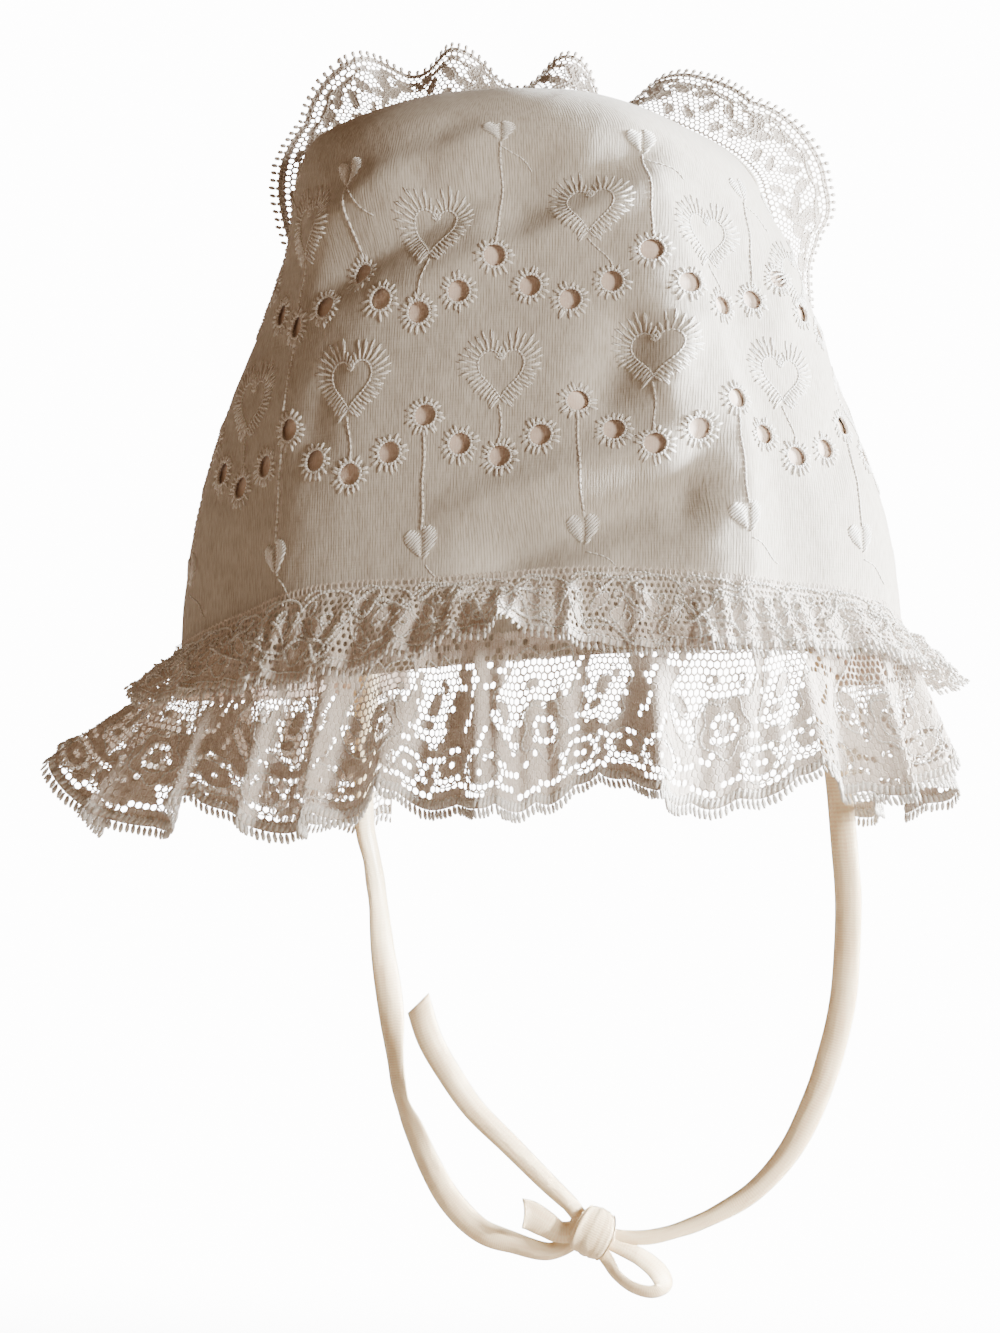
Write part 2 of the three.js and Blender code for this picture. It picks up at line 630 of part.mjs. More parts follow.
// Flat ribbon along a row of places, each with its width and its turn about the way that it runs
function ribbonGeometry(rows, steps) {
  const curve = new THREE.CatmullRomCurve3(rows.map((row) => new THREE.Vector3(row.x, row.y, row.z)));
  const numbered = rows.map((row, i) => ({ ...row, at: i / (rows.length - 1) }));
  const surface = gridSurface(steps, 1, (share, row) => {
    const place = curve.getPoint(share);
    const run = curve.getTangent(share);
    const facing = new THREE.Vector3(0, -1, 0);
    facing.addScaledVector(run, -facing.dot(run)).normalize();
    const turn = THREE.MathUtils.degToRad(read(numbered, "at", share, "turn"));
    const across = run.clone().cross(facing).applyAxisAngle(run, turn);
    return place.addScaledVector(across, (row - 0.5) * read(numbered, "at", share, "width"));
  });
  return thicken(surface, RIBBON_THICK / 2, RIBBON_THICK / 2);
}

const satin = () => new THREE.MeshStandardMaterial({ color: 0xf0e8d7, roughness: 0.42, metalness: 0 });
const lace = () => new THREE.MeshStandardMaterial({ color: 0xeeebe6, roughness: 0.85, metalness: 0 });
const cotton = () => new THREE.MeshStandardMaterial({ color: 0xefece6, roughness: 0.92, metalness: 0 });

const bonnet = new THREE.Group();
function addPiece(name, geometry, material) {
  const mesh = new THREE.Mesh(geometry, material);
  mesh.name = name;
  bonnet.add(mesh);
  return mesh;
}

addPiece("bonnet_body", piercedShell(), cotton());
addPiece("neck_frill_lower", lowerFrillGeometry(), lace());
addPiece("neck_frill_upper", upperFrillGeometry(), lace());
addPiece("face_frill", faceFrillGeometry(), lace());
addPiece("tie_right", ribbonGeometry(TIE_RIGHT_ROWS, 34), satin());
addPiece("tie_left", ribbonGeometry(TIE_LEFT_ROWS, 38), satin());
addPiece("tie_tail_long", ribbonGeometry(TAIL_LONG_ROWS, 16), satin());
addPiece("tie_tail_short", ribbonGeometry(TAIL_SHORT_ROWS, 6), satin());
addPiece("tie_loop", ribbonGeometry(LOOP_ROWS, 20), satin());

const knot = addPiece("tie_knot", new THREE.SphereGeometry(0.5, 12, 7), satin());
knot.scale.set(KNOT.wide, KNOT.deep, KNOT.tall);
knot.rotation.y = THREE.MathUtils.degToRad(KNOT.tilt);
knot.position.set(KNOT.x, KNOT.y, KNOT.z);

export default bonnet;
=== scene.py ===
import math
import random

import bmesh
import bpy
import numpy as np
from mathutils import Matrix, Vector


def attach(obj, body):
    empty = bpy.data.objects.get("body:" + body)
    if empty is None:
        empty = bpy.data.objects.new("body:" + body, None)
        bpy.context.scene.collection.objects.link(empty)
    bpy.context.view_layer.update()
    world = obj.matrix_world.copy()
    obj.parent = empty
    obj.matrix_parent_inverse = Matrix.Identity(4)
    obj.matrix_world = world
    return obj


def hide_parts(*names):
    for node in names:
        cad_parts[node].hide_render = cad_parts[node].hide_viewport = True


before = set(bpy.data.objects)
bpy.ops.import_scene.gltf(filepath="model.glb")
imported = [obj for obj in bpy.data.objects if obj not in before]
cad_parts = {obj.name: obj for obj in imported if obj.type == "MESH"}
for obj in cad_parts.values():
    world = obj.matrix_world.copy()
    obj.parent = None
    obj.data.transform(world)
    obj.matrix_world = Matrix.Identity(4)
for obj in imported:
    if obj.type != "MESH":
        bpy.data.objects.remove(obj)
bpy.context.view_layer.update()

MM = 0.001
random.seed(11)

# The camera stands behind the wearer, a little to the right of the nape and level with the hem.
# It is as far off as a hand-held photograph of so small a thing is taken from.
CAMERA_AZIMUTH = math.radians(10)
CAMERA_DROP = math.radians(1)
CAMERA_AIM = Vector((-8.94, 0.0, -124.65)) * MM
CAMERA_DISTANCE = 0.75
PICTURE_HEIGHT = 0.29326

camera_data = bpy.data.cameras.new("camera")
camera = bpy.data.objects.new("camera", camera_data)
bpy.context.scene.collection.objects.link(camera)
sight = Vector((
    -math.sin(CAMERA_AZIMUTH) * math.cos(CAMERA_DROP),
    math.cos(CAMERA_AZIMUTH) * math.cos(CAMERA_DROP),
    -math.sin(CAMERA_DROP),
))
camera.location = CAMERA_AIM - sight * CAMERA_DISTANCE
camera.rotation_euler = sight.to_track_quat("-Z", "Y").to_euler()
camera_data.sensor_width = 36
camera_data.lens = 36 * CAMERA_DISTANCE / PICTURE_HEIGHT
camera_data.clip_start = 0.01
bpy.context.scene.camera = camera

# The ties are narrow satin ribbon, sewn inside the two front corners of the neck and knotted together below.
# They hang free: one whole loop, with a long tail, a short end and a small flat loop at the knot.
# Each row is a place down the middle of the ribbon, its width there, and its turn from facing the nape.
TIE_RIGHT = (
    (57.2, 47.2, -121, 6.3, 46), (57.8, 47.4, -130, 6.3, 42), (59.9, 48.2, -141, 6.3, 28),
    (61.7, 49.2, -152.5, 6.3, 14), (63.3, 50.2, -170.2, 6.3, 6), (63.9, 50.6, -179.4, 6.3, 5),
    (63.6, 51.2, -190.9, 6.3, 5), (62.7, 50.7, -202.5, 6.3, 5), (60.2, 50.1, -214.1, 6.3, 8),
    (56.4, 49.5, -225.7, 6.2, 12), (50.7, 48.9, -237.3, 5.8, 18), (42.6, 48.3, -246.8, 5.2, 26),
    (33.4, 47.8, -252.8, 4.6, 35), (25.3, 47.2, -256.4, 4.0, 40), (18.3, 46.6, -258.2, 3.7, 34),
    (12.2, 46.1, -258.3, 3.5, 25),
)
TIE_LEFT = (
    (-49.0, 46.0, -121, 6.3, -29), (-49.0, 46.0, -130, 6.3, -33), (-49.6, 46.4, -146, 6.3, -50),
    (-49.9, 47.4, -162.2, 6.3, -60), (-48.3, 48.5, -171.6, 6.3, -62), (-47.1, 49.5, -181.1, 6.3, -58),
    (-46.0, 50.3, -192.9, 6.3, -40), (-44.4, 50.8, -204.6, 6.3, -5), (-43.0, 50.3, -216.4, 6.3, 35),
    (-41.3, 49.8, -227.0, 6.3, 50), (-38.0, 49.2, -235.1, 6.3, 30), (-34.3, 48.7, -243.2, 6.3, 12),
    (-29.4, 48.2, -251.2, 6.3, 5), (-22.1, 47.6, -258.0, 6.2, 5), (-13.7, 47.1, -260.7, 5.6, 10),
    (-7.2, 46.6, -262.2, 4.8, 15), (-3.1, 46.2, -261.6, 4.2, 15),
)
TAIL_LONG = (
    (-0.2, 45.2, -250.9, 4.0, 0), (-1.5, 44.9, -249.6, 4.2, 5), (-6.1, 44.3, -245.2, 4.6, 10),
    (-14.2, 43.4, -237.1, 5.0, 12), (-22.4, 42.6, -229.0, 5.4, 12), (-28.1, 41.7, -220.8, 5.8, 10),
    (-32.7, 40.9, -212.6, 6.1, 5), (-35.4, 40.0, -203.9, 6.3, 0),
)
TAIL_SHORT = (
    (-2.7, 44.8, -257.4, 5.8, -8), (-6.2, 44.4, -255.4, 6.5, -5), (-9.4, 44.0, -253.6, 7.0, 0),
    (-11.3, 43.1, -252.9, 6.8, 24),
)
TIE_LOOP = (
    (9.0, 44.8, -263.6, 4.6, 48), (11.2, 44.6, -266.6, 5.4, 56), (14.8, 44.5, -269.2, 6.0, 60),
    (18.9, 44.6, -270.2, 6.3, 62), (21.5, 44.8, -268.9, 6.3, 62), (20.2, 45.0, -265.9, 6.3, 60),
    (16.4, 45.2, -262.9, 5.6, 56), (11.4, 45.4, -260.6, 4.6, 48),
)
RIBBON_WIDTH = 6.3
RIBBON_EDGE = 0.42
RIBBON_MIDDLE = 0.24
RIBBON_SIDES = 20
RIBBON_CUP = 1.45
SATIN_COLOUR = (1.0, 0.85, 0.58, 1)
SATIN_SHADE = (0.92, 0.71, 0.44, 1)
KNOT_PLACE = (4.7, 45.4, -257.2)
INTO_KNOT = 0.55
RUN_STEP = 1e-3
TUBE_WELD = 1e-6


def smooth_between(keys, values, place):
    """Values of a table between its keys, on a smooth curve through them."""
    x = np.array(keys, float)
    y = np.array(values, float)
    last = len(x) - 1
    low = np.maximum(np.arange(last + 1) - 1, 0)
    high = np.minimum(np.arange(last + 1) + 1, last)
    slope = (y[high] - y[low]) / (x[high] - x[low])
    at = np.clip(np.asarray(place, float), x[0], x[last])
    i = np.clip(np.searchsorted(x, at, side="right") - 1, 0, last - 1)
    span = x[i + 1] - x[i]
    s = (at - x[i]) / span
    ends = y[i] * (2 * s**3 - 3 * s**2 + 1) + y[i + 1] * (3 * s**2 - 2 * s**3)
    return ends + (slope[i] * (s**3 - 2 * s**2 + s) + slope[i + 1] * (s**3 - s**2)) * span


def unit(vectors):
    return vectors / np.maximum(np.linalg.norm(vectors, axis=-1, keepdims=True), 1e-12)


def points_of(bm):
    return np.array([v.co[:] for v in bm.verts], float)


def move_to(bm, points):
    for v, p in zip(bm.verts, points):
        v.co = p


def length_of(points):
    return float(np.linalg.norm(np.diff(np.array(points), axis=0), axis=1).sum())


def grid_of(columns, rows):
    """A flat grid, one unit each way round its middle, with its places."""
    bm = bmesh.new()
    bmesh.ops.create_grid(bm, x_segments=columns, y_segments=rows, size=0.5)
    return bm, points_of(bm)


def keep_flat(bm, flat):
    """A layer that holds each point's flat place, so that it outlasts the welding."""
    keep = bm.verts.layers.float_vector.new("flat_place")
    for v, f in zip(bm.verts, flat):
        v[keep] = f
    return keep


def close_tube(bm, flat):
    """Welds a rolled grid into a tube with closed ends, and gives the flat places of the points left."""
    keep = keep_flat(bm, flat)
    bmesh.ops.remove_doubles(bm, verts=bm.verts, dist=TUBE_WELD)
    bmesh.ops.holes_fill(bm, edges=[e for e in bm.edges if e.is_boundary], sides=0)
    bmesh.ops.recalc_face_normals(bm, faces=bm.faces)
    return [v[keep][:] for v in bm.verts]


def finish_piece(bm, name, material, flat, smooth=True):
    """The mesh as an object that rides on the one body and keeps its flat places for its weave."""
    mesh = bpy.data.meshes.new(name)
    bm.to_mesh(mesh)
    bm.free()
    layer = mesh.attributes.new("flat", "FLOAT_VECTOR", "POINT")
    layer.data.foreach_set("vector", np.asarray(flat, np.float32).ravel())
    if smooth:
        mesh.polygons.foreach_set("use_smooth", [True] * len(mesh.polygons))
    piece = bpy.data.objects.new(name, mesh)
    bpy.context.scene.collection.objects.link(piece)
    mesh.materials.append(material)
    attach(piece, "root")
    return piece


def ribbon_line(rows, share):
    """Middle line of a ribbon with its running, crosswise and facing directions, and its width."""
    keys = np.linspace(0, 1, len(rows))
    columns = list(zip(*rows))

    def at(place):
        return np.stack([smooth_between(keys, columns[k], place) for k in range(3)], -1)

    run = unit(at(np.minimum(share + RUN_STEP, 1)) - at(np.maximum(share - RUN_STEP, 0)))
    nape = np.array([0.0, -1.0, 0.0])
    side = np.cross(run, unit(nape - run * (run @ nape)[..., None]))
    turn = np.radians(smooth_between(keys, columns[4], share))[..., None]
    across = side * np.cos(turn) + np.cross(run, side) * np.sin(turn)
    return at(share), run, across, np.cross(across, run), smooth_between(keys, columns[3], share)


def into_knot(rows, *ends):
    """The same rows with one more inside the knot for each end that goes into it."""
    def inner(row):
        x, z = (KNOT_PLACE[k] * INTO_KNOT + row[k] * (1 - INTO_KNOT) for k in (0, 2))
        return (x, row[1], z, *row[3:])

    rows = list(rows)
    if "start" in ends:
        rows.insert(0, inner(rows[0]))
    if "end" in ends:
        rows.append(inner(rows[-1]))
    return rows


def ribbon(name, rows, steps, material, slant=0.0, ripple=0.12):
    """A flat woven ribbon with a folded edge down each side, closed at both ends."""
    bm, grid = grid_of(steps, RIBBON_SIDES)
    share = grid[:, 0] + 0.5
    turn = 2 * math.pi * (grid[:, 1] + 0.5)
    middle, run, across, facing, width = ribbon_line(rows, share)
    over = np.cos(turn)
    bead = np.exp(-(((np.abs(over) - 0.8) / 0.16) ** 2))
    edge_round = np.minimum(1, np.abs(np.sin(turn)) * 2.2)
    thick = (RIBBON_MIDDLE + (RIBBON_EDGE - RIBBON_MIDDLE) * bead) * np.sign(np.sin(turn)) * edge_round
    length = length_of(ribbon_line(rows, np.linspace(0, 1, 200))[0])
    wave = ripple * np.sin(share * length / 2.6 + 1.5 * np.sin(share * length / 7.0)) * over
    wave = wave + (RIBBON_CUP + 0.25 * (6.4 - width) / 3) * (1 - over**2)
    end = slant * over * np.clip((share - 0.9) / 0.1, 0, 1)
    place = middle + across * (over * width / 2)[:, None] + facing * (thick + wave)[:, None]
    move_to(bm, (place + run * end[:, None]) * MM)
    flat = close_tube(bm, np.stack([share * length, over * RIBBON_WIDTH / 2, thick], -1))
    return finish_piece(bm, name, material, flat)


def node(tree, kind, sockets=(), **values):
    """A shader node with its settings. Each socket named gets a value, or a link from another node."""
    made = tree.nodes.new(kind)
    for key, value in values.items():
        setattr(made, key, value)
    for key, value in dict(sockets).items():
        if isinstance(value, bpy.types.NodeSocket):
            tree.links.new(value, made.inputs[key])
        else:
            made.inputs[key].default_value = value
    return made


def new_material(name, colour, roughness):
    material = bpy.data.materials.new(name)
    material.use_nodes = True
    shader = material.node_tree.nodes["Principled BSDF"]
    shader.inputs["Base Color"].default_value = colour
    shader.inputs["Roughness"].default_value = roughness
    return material, material.node_tree, shader


def maths(tree, operation, *inputs):
    """Output of a maths node whose inputs are values or other nodes' outputs."""
    return node(tree, "ShaderNodeMath", dict(enumerate(inputs)), operation=operation).outputs["Value"]


# Threads of a cloth, from the cloth's flat places: long uneven streaks along one way, finer ones across it,
# and even threads under them that the streaks bend a little.
WEFT_STRETCH = (0.12, 2.4, 0.0)
WEFT_SHARE = 0.35
EVEN_THREADS, EVEN_BEND, EVEN_SHARE = 11.0, 7.0, 0.12
threads = bpy.data.node_groups.new("thread_weave", "ShaderNodeTree")
for socket, way, kind in (
    ("Place", "INPUT", "Vector"), ("Along", "INPUT", "Float"), ("Across", "INPUT", "Float"),
    ("Height", "OUTPUT", "Float"), ("Tone", "OUTPUT", "Float"),
):
    threads.interface.new_socket(socket, in_out=way, socket_type="NodeSocket" + kind)
given = node(threads, "NodeGroupInput").outputs
warp_stretch = node(threads, "ShaderNodeCombineXYZ", {"X": given["Across"], "Y": given["Along"]})


def streaks(stretch, detail):
    """Noise drawn out along the cloth."""
    place = node(threads, "ShaderNodeVectorMath", {0: given["Place"], 1: stretch}, operation="MULTIPLY")
    sockets = {"Scale": 1.0, "Detail": detail, "Vector": place.outputs["Vector"]}
    return node(threads, "ShaderNodeTexNoise", sockets).outputs["Fac"]


warp = streaks(warp_stretch.outputs["Vector"], 3.0)
weft = streaks(WEFT_STRETCH, 2.0)
thread_axes = node(threads, "ShaderNodeSeparateXYZ", {"Vector": given["Place"]}).outputs
thread_turn = maths(threads, "MULTIPLY", thread_axes["X"], EVEN_THREADS)
thread_wave = maths(threads, "SINE", maths(threads, "MULTIPLY_ADD", warp, EVEN_BEND, thread_turn))
thread_tone = maths(threads, "MULTIPLY_ADD", thread_wave, EVEN_SHARE, warp)
thread_height = maths(threads, "MULTIPLY_ADD", weft, WEFT_SHARE, thread_tone)
node(threads, "NodeGroupOutput", {"Height": thread_height, "Tone": thread_tone})


def woven(name, light, dark, roughness, along, across, depth, contrast=(0.35, 0.65), sheen=(0.0, 0.5)):
    """A woven material: the threads change its colour between two tones and stand in relief."""
    material, tree, shader = new_material(name, light, roughness)
    shader.inputs["Sheen Weight"].default_value = sheen[0]
    shader.inputs["Sheen Roughness"].default_value = sheen[1]
    place = node(tree, "ShaderNodeAttribute", attribute_name="flat")
    weave = node(tree, "ShaderNodeGroup",
                 {"Along": along, "Across": across, "Place": place.outputs["Vector"]}, node_tree=threads)
    ramp = node(tree, "ShaderNodeValToRGB", {"Fac": weave.outputs["Tone"]})
    for end, position, colour in zip(ramp.color_ramp.elements, contrast, (dark, light)):
        end.position = position
        end.color = colour
    tree.links.new(ramp.outputs["Color"], shader.inputs["Base Color"])
    relief = {"Strength": 0.6, "Distance": depth, "Height": weave.outputs["Height"]}
    bump = node(tree, "ShaderNodeBump", relief)
    tree.links.new(bump.outputs["Normal"], shader.inputs["Normal"])
    return material


satin = woven("ribbon_satin", SATIN_COLOUR, SATIN_SHADE, roughness=0.36, along=0.9, across=0.12,
              depth=0.00012, contrast=(0.3, 0.6), sheen=(0.35, 0.4))

tie_right = ribbon("tie_right_ribbon", into_knot(TIE_RIGHT, "end"), 150, satin)
tie_left = ribbon("tie_left_ribbon", into_knot(TIE_LEFT, "end"), 160, satin)
tail_long = ribbon("tie_tail_long_ribbon", into_knot(TAIL_LONG, "start"), 80, satin, slant=1.6)
tail_short = ribbon("tie_tail_short_ribbon", into_knot(TAIL_SHORT, "start"), 26, satin, slant=0.8, ripple=0.3)
tie_loop = ribbon("tie_loop_ribbon", into_knot(TIE_LOOP, "start", "end"), 90, satin, ripple=0.2)
for piece, cad in (
    (tie_right, "tie_right"), (tie_left, "tie_left"), (tail_long, "tie_tail_long"),
    (tail_short, "tie_tail_short"), (tie_loop, "tie_loop"),
):
    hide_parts(cad)

# The knot is the two ribbons laid over each other and drawn tight: a creased lump, and round its front a turn
# of ribbon that comes over from the top right and goes under at the bottom left.
KNOT_SIZE = (11.8, 8.8, 10.6)
KNOT_TURN_LEAN = math.radians(24)
KNOT_TURN_SIZE = (5.7, 4.9)
# Creases of the lump: where across it, how wide and how deep
KNOT_CREASES = ((-0.36, 0.03, 0.07), (-0.22, 0.05, 0.04), (0.27, 0.04, 0.06), (0.4, 0.03, 0.08))

bm = bmesh.new()
bmesh.ops.create_uvsphere(bm, u_segments=64, v_segments=40, radius=0.5)
ball = points_of(bm)
slope = ball[:, 0] * math.cos(0.45) - ball[:, 2] * math.sin(0.45)
crease = sum(depth * np.exp(-(((slope - at) / wide) ** 2)) for at, wide, depth in KNOT_CREASES)
lump = 1.03 + 0.06 * np.sin(4 * ball[:, 0] + 1) * np.sin(5 * ball[:, 2] + 0.5) - crease
move_to(bm, ball * lump[:, None] * np.array(KNOT_SIZE) + np.array(KNOT_PLACE))
flat = points_of(bm)
flat = np.stack([flat[:, 0] * 0.9 + flat[:, 2] * 0.45, flat[:, 2] * 0.9 - flat[:, 0] * 0.45, flat[:, 1]], -1)
bmesh.ops.scale(bm, verts=bm.verts, vec=(MM, MM, MM))
knot = finish_piece(bm, "tie_knot_lump", satin, flat)
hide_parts("tie_knot")

bm, grid = grid_of(64, 48)
a = -0.1 + (grid[:, 0] + 0.5) * (math.pi + 0.2)
turn = 2 * math.pi * (grid[:, 1] + 0.5)
lean = np.array([math.sin(KNOT_TURN_LEAN), 0, math.cos(KNOT_TURN_LEAN)])
nape = np.array([0, -1, 0])
middle = (np.array(KNOT_PLACE) + np.array([0.5, 0, 0]) + np.outer(np.cos(a), lean) * KNOT_TURN_SIZE[0]
          + np.outer(np.sin(a), [0.4, -KNOT_TURN_SIZE[1], 0]))
outward = unit(np.outer(np.cos(a), lean) / KNOT_TURN_SIZE[0] + np.outer(np.sin(a), nape) / KNOT_TURN_SIZE[1])
across = unit(np.cross(outward, np.outer(-np.sin(a), lean) + np.outer(np.cos(a), nape)))
over = np.cos(turn)
width = 5.8 + 3.4 * np.sin(a)
edge_roll = np.exp(-(((np.abs(over) - 0.82) / 0.13) ** 2)) * np.where(over < 0, 0.95, 0.35)
pleat = 0.16 * np.cos(over * 9.5 + 0.8) + 0.12 * np.cos(over * 19 + 2 + a)
rise = 0.4 + 0.7 * edge_roll * np.sin(a) + 0.5 * pleat * (1 - edge_roll) - 0.7 * over**2
thick = np.where(np.sin(turn) > 0, rise, -0.5)
thick = thick * np.minimum(1, np.abs(np.sin(turn)) * 4)
move_to(bm, (middle + across * (over * width / 2)[:, None] + outward * thick[:, None]) * MM)
flat = close_tube(bm, np.stack([a * 5.5, over * width / 2, thick], -1))
knot_turn = finish_piece(bm, "tie_knot_turn", satin, flat)


def route_of(rows):
    return [tuple(p) for p in ribbon_line(rows, np.linspace(0, 1, 60))[0] * MM]


right_route = route_of(into_knot(TIE_RIGHT, "end"))
left_route = route_of(into_knot(TIE_LEFT, "end"))
tail_route = route_of(into_knot(TAIL_LONG, "start"))

# The bonnet itself is one cloth of fine white cotton, cut to go round the back and sides of the head and
# gathered over the crown. Its tables give its plan from the neck hem (rise 0) to the crown's shoulder
# (rise 1), its heights, and the ridge that the crown runs up to.
SHELL = {
    "rise": (0, 0.055, 0.2, 0.32, 0.435, 0.55, 0.66, 0.775, 0.885, 1),
    "left": (79.5, 79, 77.5, 75, 71, 66.5, 61.5, 57.5, 54.5, 52),
    "right": (79.5, 79, 77.5, 75, 70.5, 65.5, 61, 57, 52, 45.5),
    "nape": (52.5, 52, 51, 50, 48.5, 46.5, 44, 41.5, 39, 36.5),
    "face": (55, 55, 55, 54, 54, 53, 52, 52, 51, 50),
    "chin_left": (40.5, 41, 43.5, 45.5, 46.5, 47, 47.5, 48, 48, 46.5),
    "chin_right": (57.5, 57.5, 57, 56, 55, 53, 51.5, 49.5, 46.5, 42.5),
}
HEIGHTS = {
    "around": (-1, -0.75, -0.5, -0.25, 0, 0.25, 0.5, 0.75, 1),
    "hem": (-131, -133, -131.5, -127.3, -122.6, -120.5, -121.8, -128, -130),
    "shoulder": (0.5, -7, -12, -12, -13, -15, -20, -17, -15),
}
RIDGE = {"along": (0, 0.3, 0.65, 1), "x": (-3, -4, -5, -7), "y": (-24, -4, 22, 50),
         "z": (-1.6, 0.8, 2.8, 6.2)}
BACK_ROUNDNESS = 0.93
CROWN_ROUNDNESS = (2.3, 1.65)
# Folds down the wall: distance from the nape line at the shoulder and at the hem, width, and how far out
WALL_FOLDS = ((26, 46, 8, 2.2), (40, 66, 9, -1.6), (-28, -40, 10, 1.3), (-50, -62, 9, -1.4),
              (2, -6, 12, -1), (-70, -92, 10, 1.6), (66, 94, 10, 1.8))
# Soft slanting dents: from one place to another along and up the wall, half width, and how far out
DENTS = (
    (-50, 76, 18, 110, 4.6, -4.2), (-56, 86, 2, 116, 4.2, 2.3), (-30, 74, 30, 100, 3.8, 1.5),
    (-8, 88, 36, 114, 5.4, -4.8), (-12, 16, 50, 38, 5.6, -5.2), (-20, 28, 44, 47, 4.4, 2.2),
    (-24, 8, 30, 22, 4.0, 1.3), (18, 48, 28, 74, 5.2, -3.6), (32, 50, 38, 74, 3.6, 1.6),
    (-66, 24, -50, 66, 6.0, 0.9), (-96, 58, -62, 100, 7.0, -1.2), (66, 36, 92, 70, 6.0, -1.1),
    (58, 66, 74, 104, 5.0, 0.9), (-44, 40, -36, 70, 4.0, -0.7), (80, 80, 100, 52, 5.0, 0.8),
    (-24, 96, -8, 122, 5.0, -1.4), (4, 6, 24, 14, 3.2, -1.0), (37, 22, 42, 52, 4.2, -2.2),
)
# The crease down the right of the nape: its height up the wall, its place along it, and how far it stands out
CREASE = ((-10, 51.5, 3.0), (19.5, 50.8, 4.0), (32.6, 50.4, 4.3), (47.9, 49.1, 4.0), (60.8, 45.5, 3.4),
          (76.2, 40.6, 2.8), (88.5, 34.7, 2.4), (101.7, 30.3, 1.9), (118, 26, 0.9))
CREASE_WIDTHS = (13.0, 8.0)
SHOULDER_ROUND = 8
CROWN_RISE = 0.42
CROWN_WELD = 2e-5
RIDGE_ROUND, RIDGE_PASSES = 14, 40
SHARES = np.linspace(0, 1, 161)
RISES = np.linspace(0, 1, 81)


def read_rows(rows, column, place):
    """One column of a table of rows, read between its rows by their first column."""
    columns = list(zip(*rows))
    return smooth_between(columns[0], columns[column], place)


def plan_of(side):
    """Plan curves at many heights, each from the nape to the chin corner in even steps, with its length."""
    rows = []
    for rise in RISES:
        half, nape, face, chin = (float(smooth_between(SHELL["rise"], SHELL[column], rise))
                                  for column in (side, "nape", "face", "chin_" + side))
        end = math.pi - math.asin(chin / half)
        turn = end * np.linspace(0, 1, 65)
        behind = turn < math.pi / 2
        x = half * np.sin(turn) ** np.where(behind, BACK_ROUNDNESS, 1)
        back = -nape * np.abs(np.cos(turn)) ** BACK_ROUNDNESS
        y = np.where(behind, back, face / math.cos(end) * np.cos(turn))
        far = np.concatenate([[0], np.cumsum(np.hypot(np.diff(x), np.diff(y)))])
        share = SHARES * far[-1]
        rows.append(np.stack([np.interp(share, far, x), np.interp(share, far, y), 0 * share + far[-1]], -1))
    return np.array(rows)


PLANS = {-1: plan_of("left"), 1: plan_of("right")}


def on_plan(side, share, rise):
    table = PLANS[side]
    a = np.clip(share, 0, 1) * (len(SHARES) - 1)
    b = np.clip(rise, 0, 1) * (len(RISES) - 1)
    i = np.minimum(a.astype(int), len(SHARES) - 2)
    j = np.minimum(b.astype(int), len(RISES) - 2)
    s, t = (a - i)[..., None], (b - j)[..., None]
    low = table[j, i] * (1 - s) + table[j, i + 1] * s
    high = table[j + 1, i] * (1 - s) + table[j + 1, i + 1] * s
    run = (table[j, i + 1] - table[j, i]) * (1 - t) + (table[j + 1, i + 1] - table[j + 1, i]) * t
    return low * (1 - t) + high * t, run


def half_length(sign, rise):
    """Length of the wall from the nape line to the chin corner on one side."""
    left = np.interp(rise, RISES, PLANS[-1][:, 0, 2])
    right = np.interp(rise, RISES, PLANS[1][:, 0, 2])
    return np.where(np.asarray(sign) < 0, left, right)


def wall(around, rise):
    """Places on the wall, with the outward and running directions and the wall's height."""
    around = np.asarray(around, float)
    rise = np.broadcast_to(np.asarray(rise, float), around.shape)
    left, left_run = on_plan(-1, np.abs(around), rise)
    right, right_run = on_plan(1, np.abs(around), rise)
    is_left = (around < 0)[..., None]
    at = np.where(is_left, left, right)
    run = np.where(is_left, left_run, right_run)
    sign = np.where(around < 0, -1.0, 1.0)
    run = unit(np.stack([run[..., 0] * sign, run[..., 1], 0 * sign], -1))
    out = np.stack([run[..., 1] * sign, -run[..., 0] * sign, 0 * sign], -1)
    hem = smooth_between(HEIGHTS["around"], HEIGHTS["hem"], around)
    shoulder = smooth_between(HEIGHTS["around"], HEIGHTS["shoulder"], around)
    place = np.stack([at[..., 0] * sign, at[..., 1], hem + (shoulder - hem) * rise], -1)
    fade = np.sin(math.pi * np.clip(rise * 0.75 + 0.15, 0, 1))
    far = np.abs(around) * at[..., 2] * sign
    bulge = np.zeros(around.shape)
    for top, low, width, depth in WALL_FOLDS:
        bulge += depth * fade * np.exp(-(((far - (low + (top - low) * rise)) / width) ** 2))
    return place + out * bulge[..., None], out, run * sign[..., None], shoulder - hem


WALL_HEIGHT = float(wall(np.array([0.0]), 0.0)[3][0])


def crown(around, over):
    """Places on the crown, from the shoulder (over 0) to the ridge (over 1)."""
    around = np.asarray(around, float)
    shoulder = wall(around, 1.0)[0]
    away = np.hypot(around, 0.1 * (1 - np.abs(around))) - 0.1 * (1 - np.abs(around))
    ridge = np.stack([smooth_between(RIDGE["along"], RIDGE[c], away) for c in "xyz"], -1)
    turn = np.clip(over, 0, 1) * math.pi / 2
    side = np.minimum(np.abs(around) / 0.55, 1)
    middle, end = CROWN_ROUNDNESS
    power = 2 / (middle + (end - middle) * side * side * (3 - 2 * side))
    left = np.where(np.asarray(over) > 0.9999, 0, np.abs(np.cos(turn)) ** power)
    up = np.sin(turn) ** power
    return np.stack([
        ridge[..., 0] + (shoulder[..., 0] - ridge[..., 0]) * left,
        ridge[..., 1] + (shoulder[..., 1] - ridge[..., 1]) * left,
        shoulder[..., 2] + (ridge[..., 2] - shoulder[..., 2]) * up,
    ], -1)


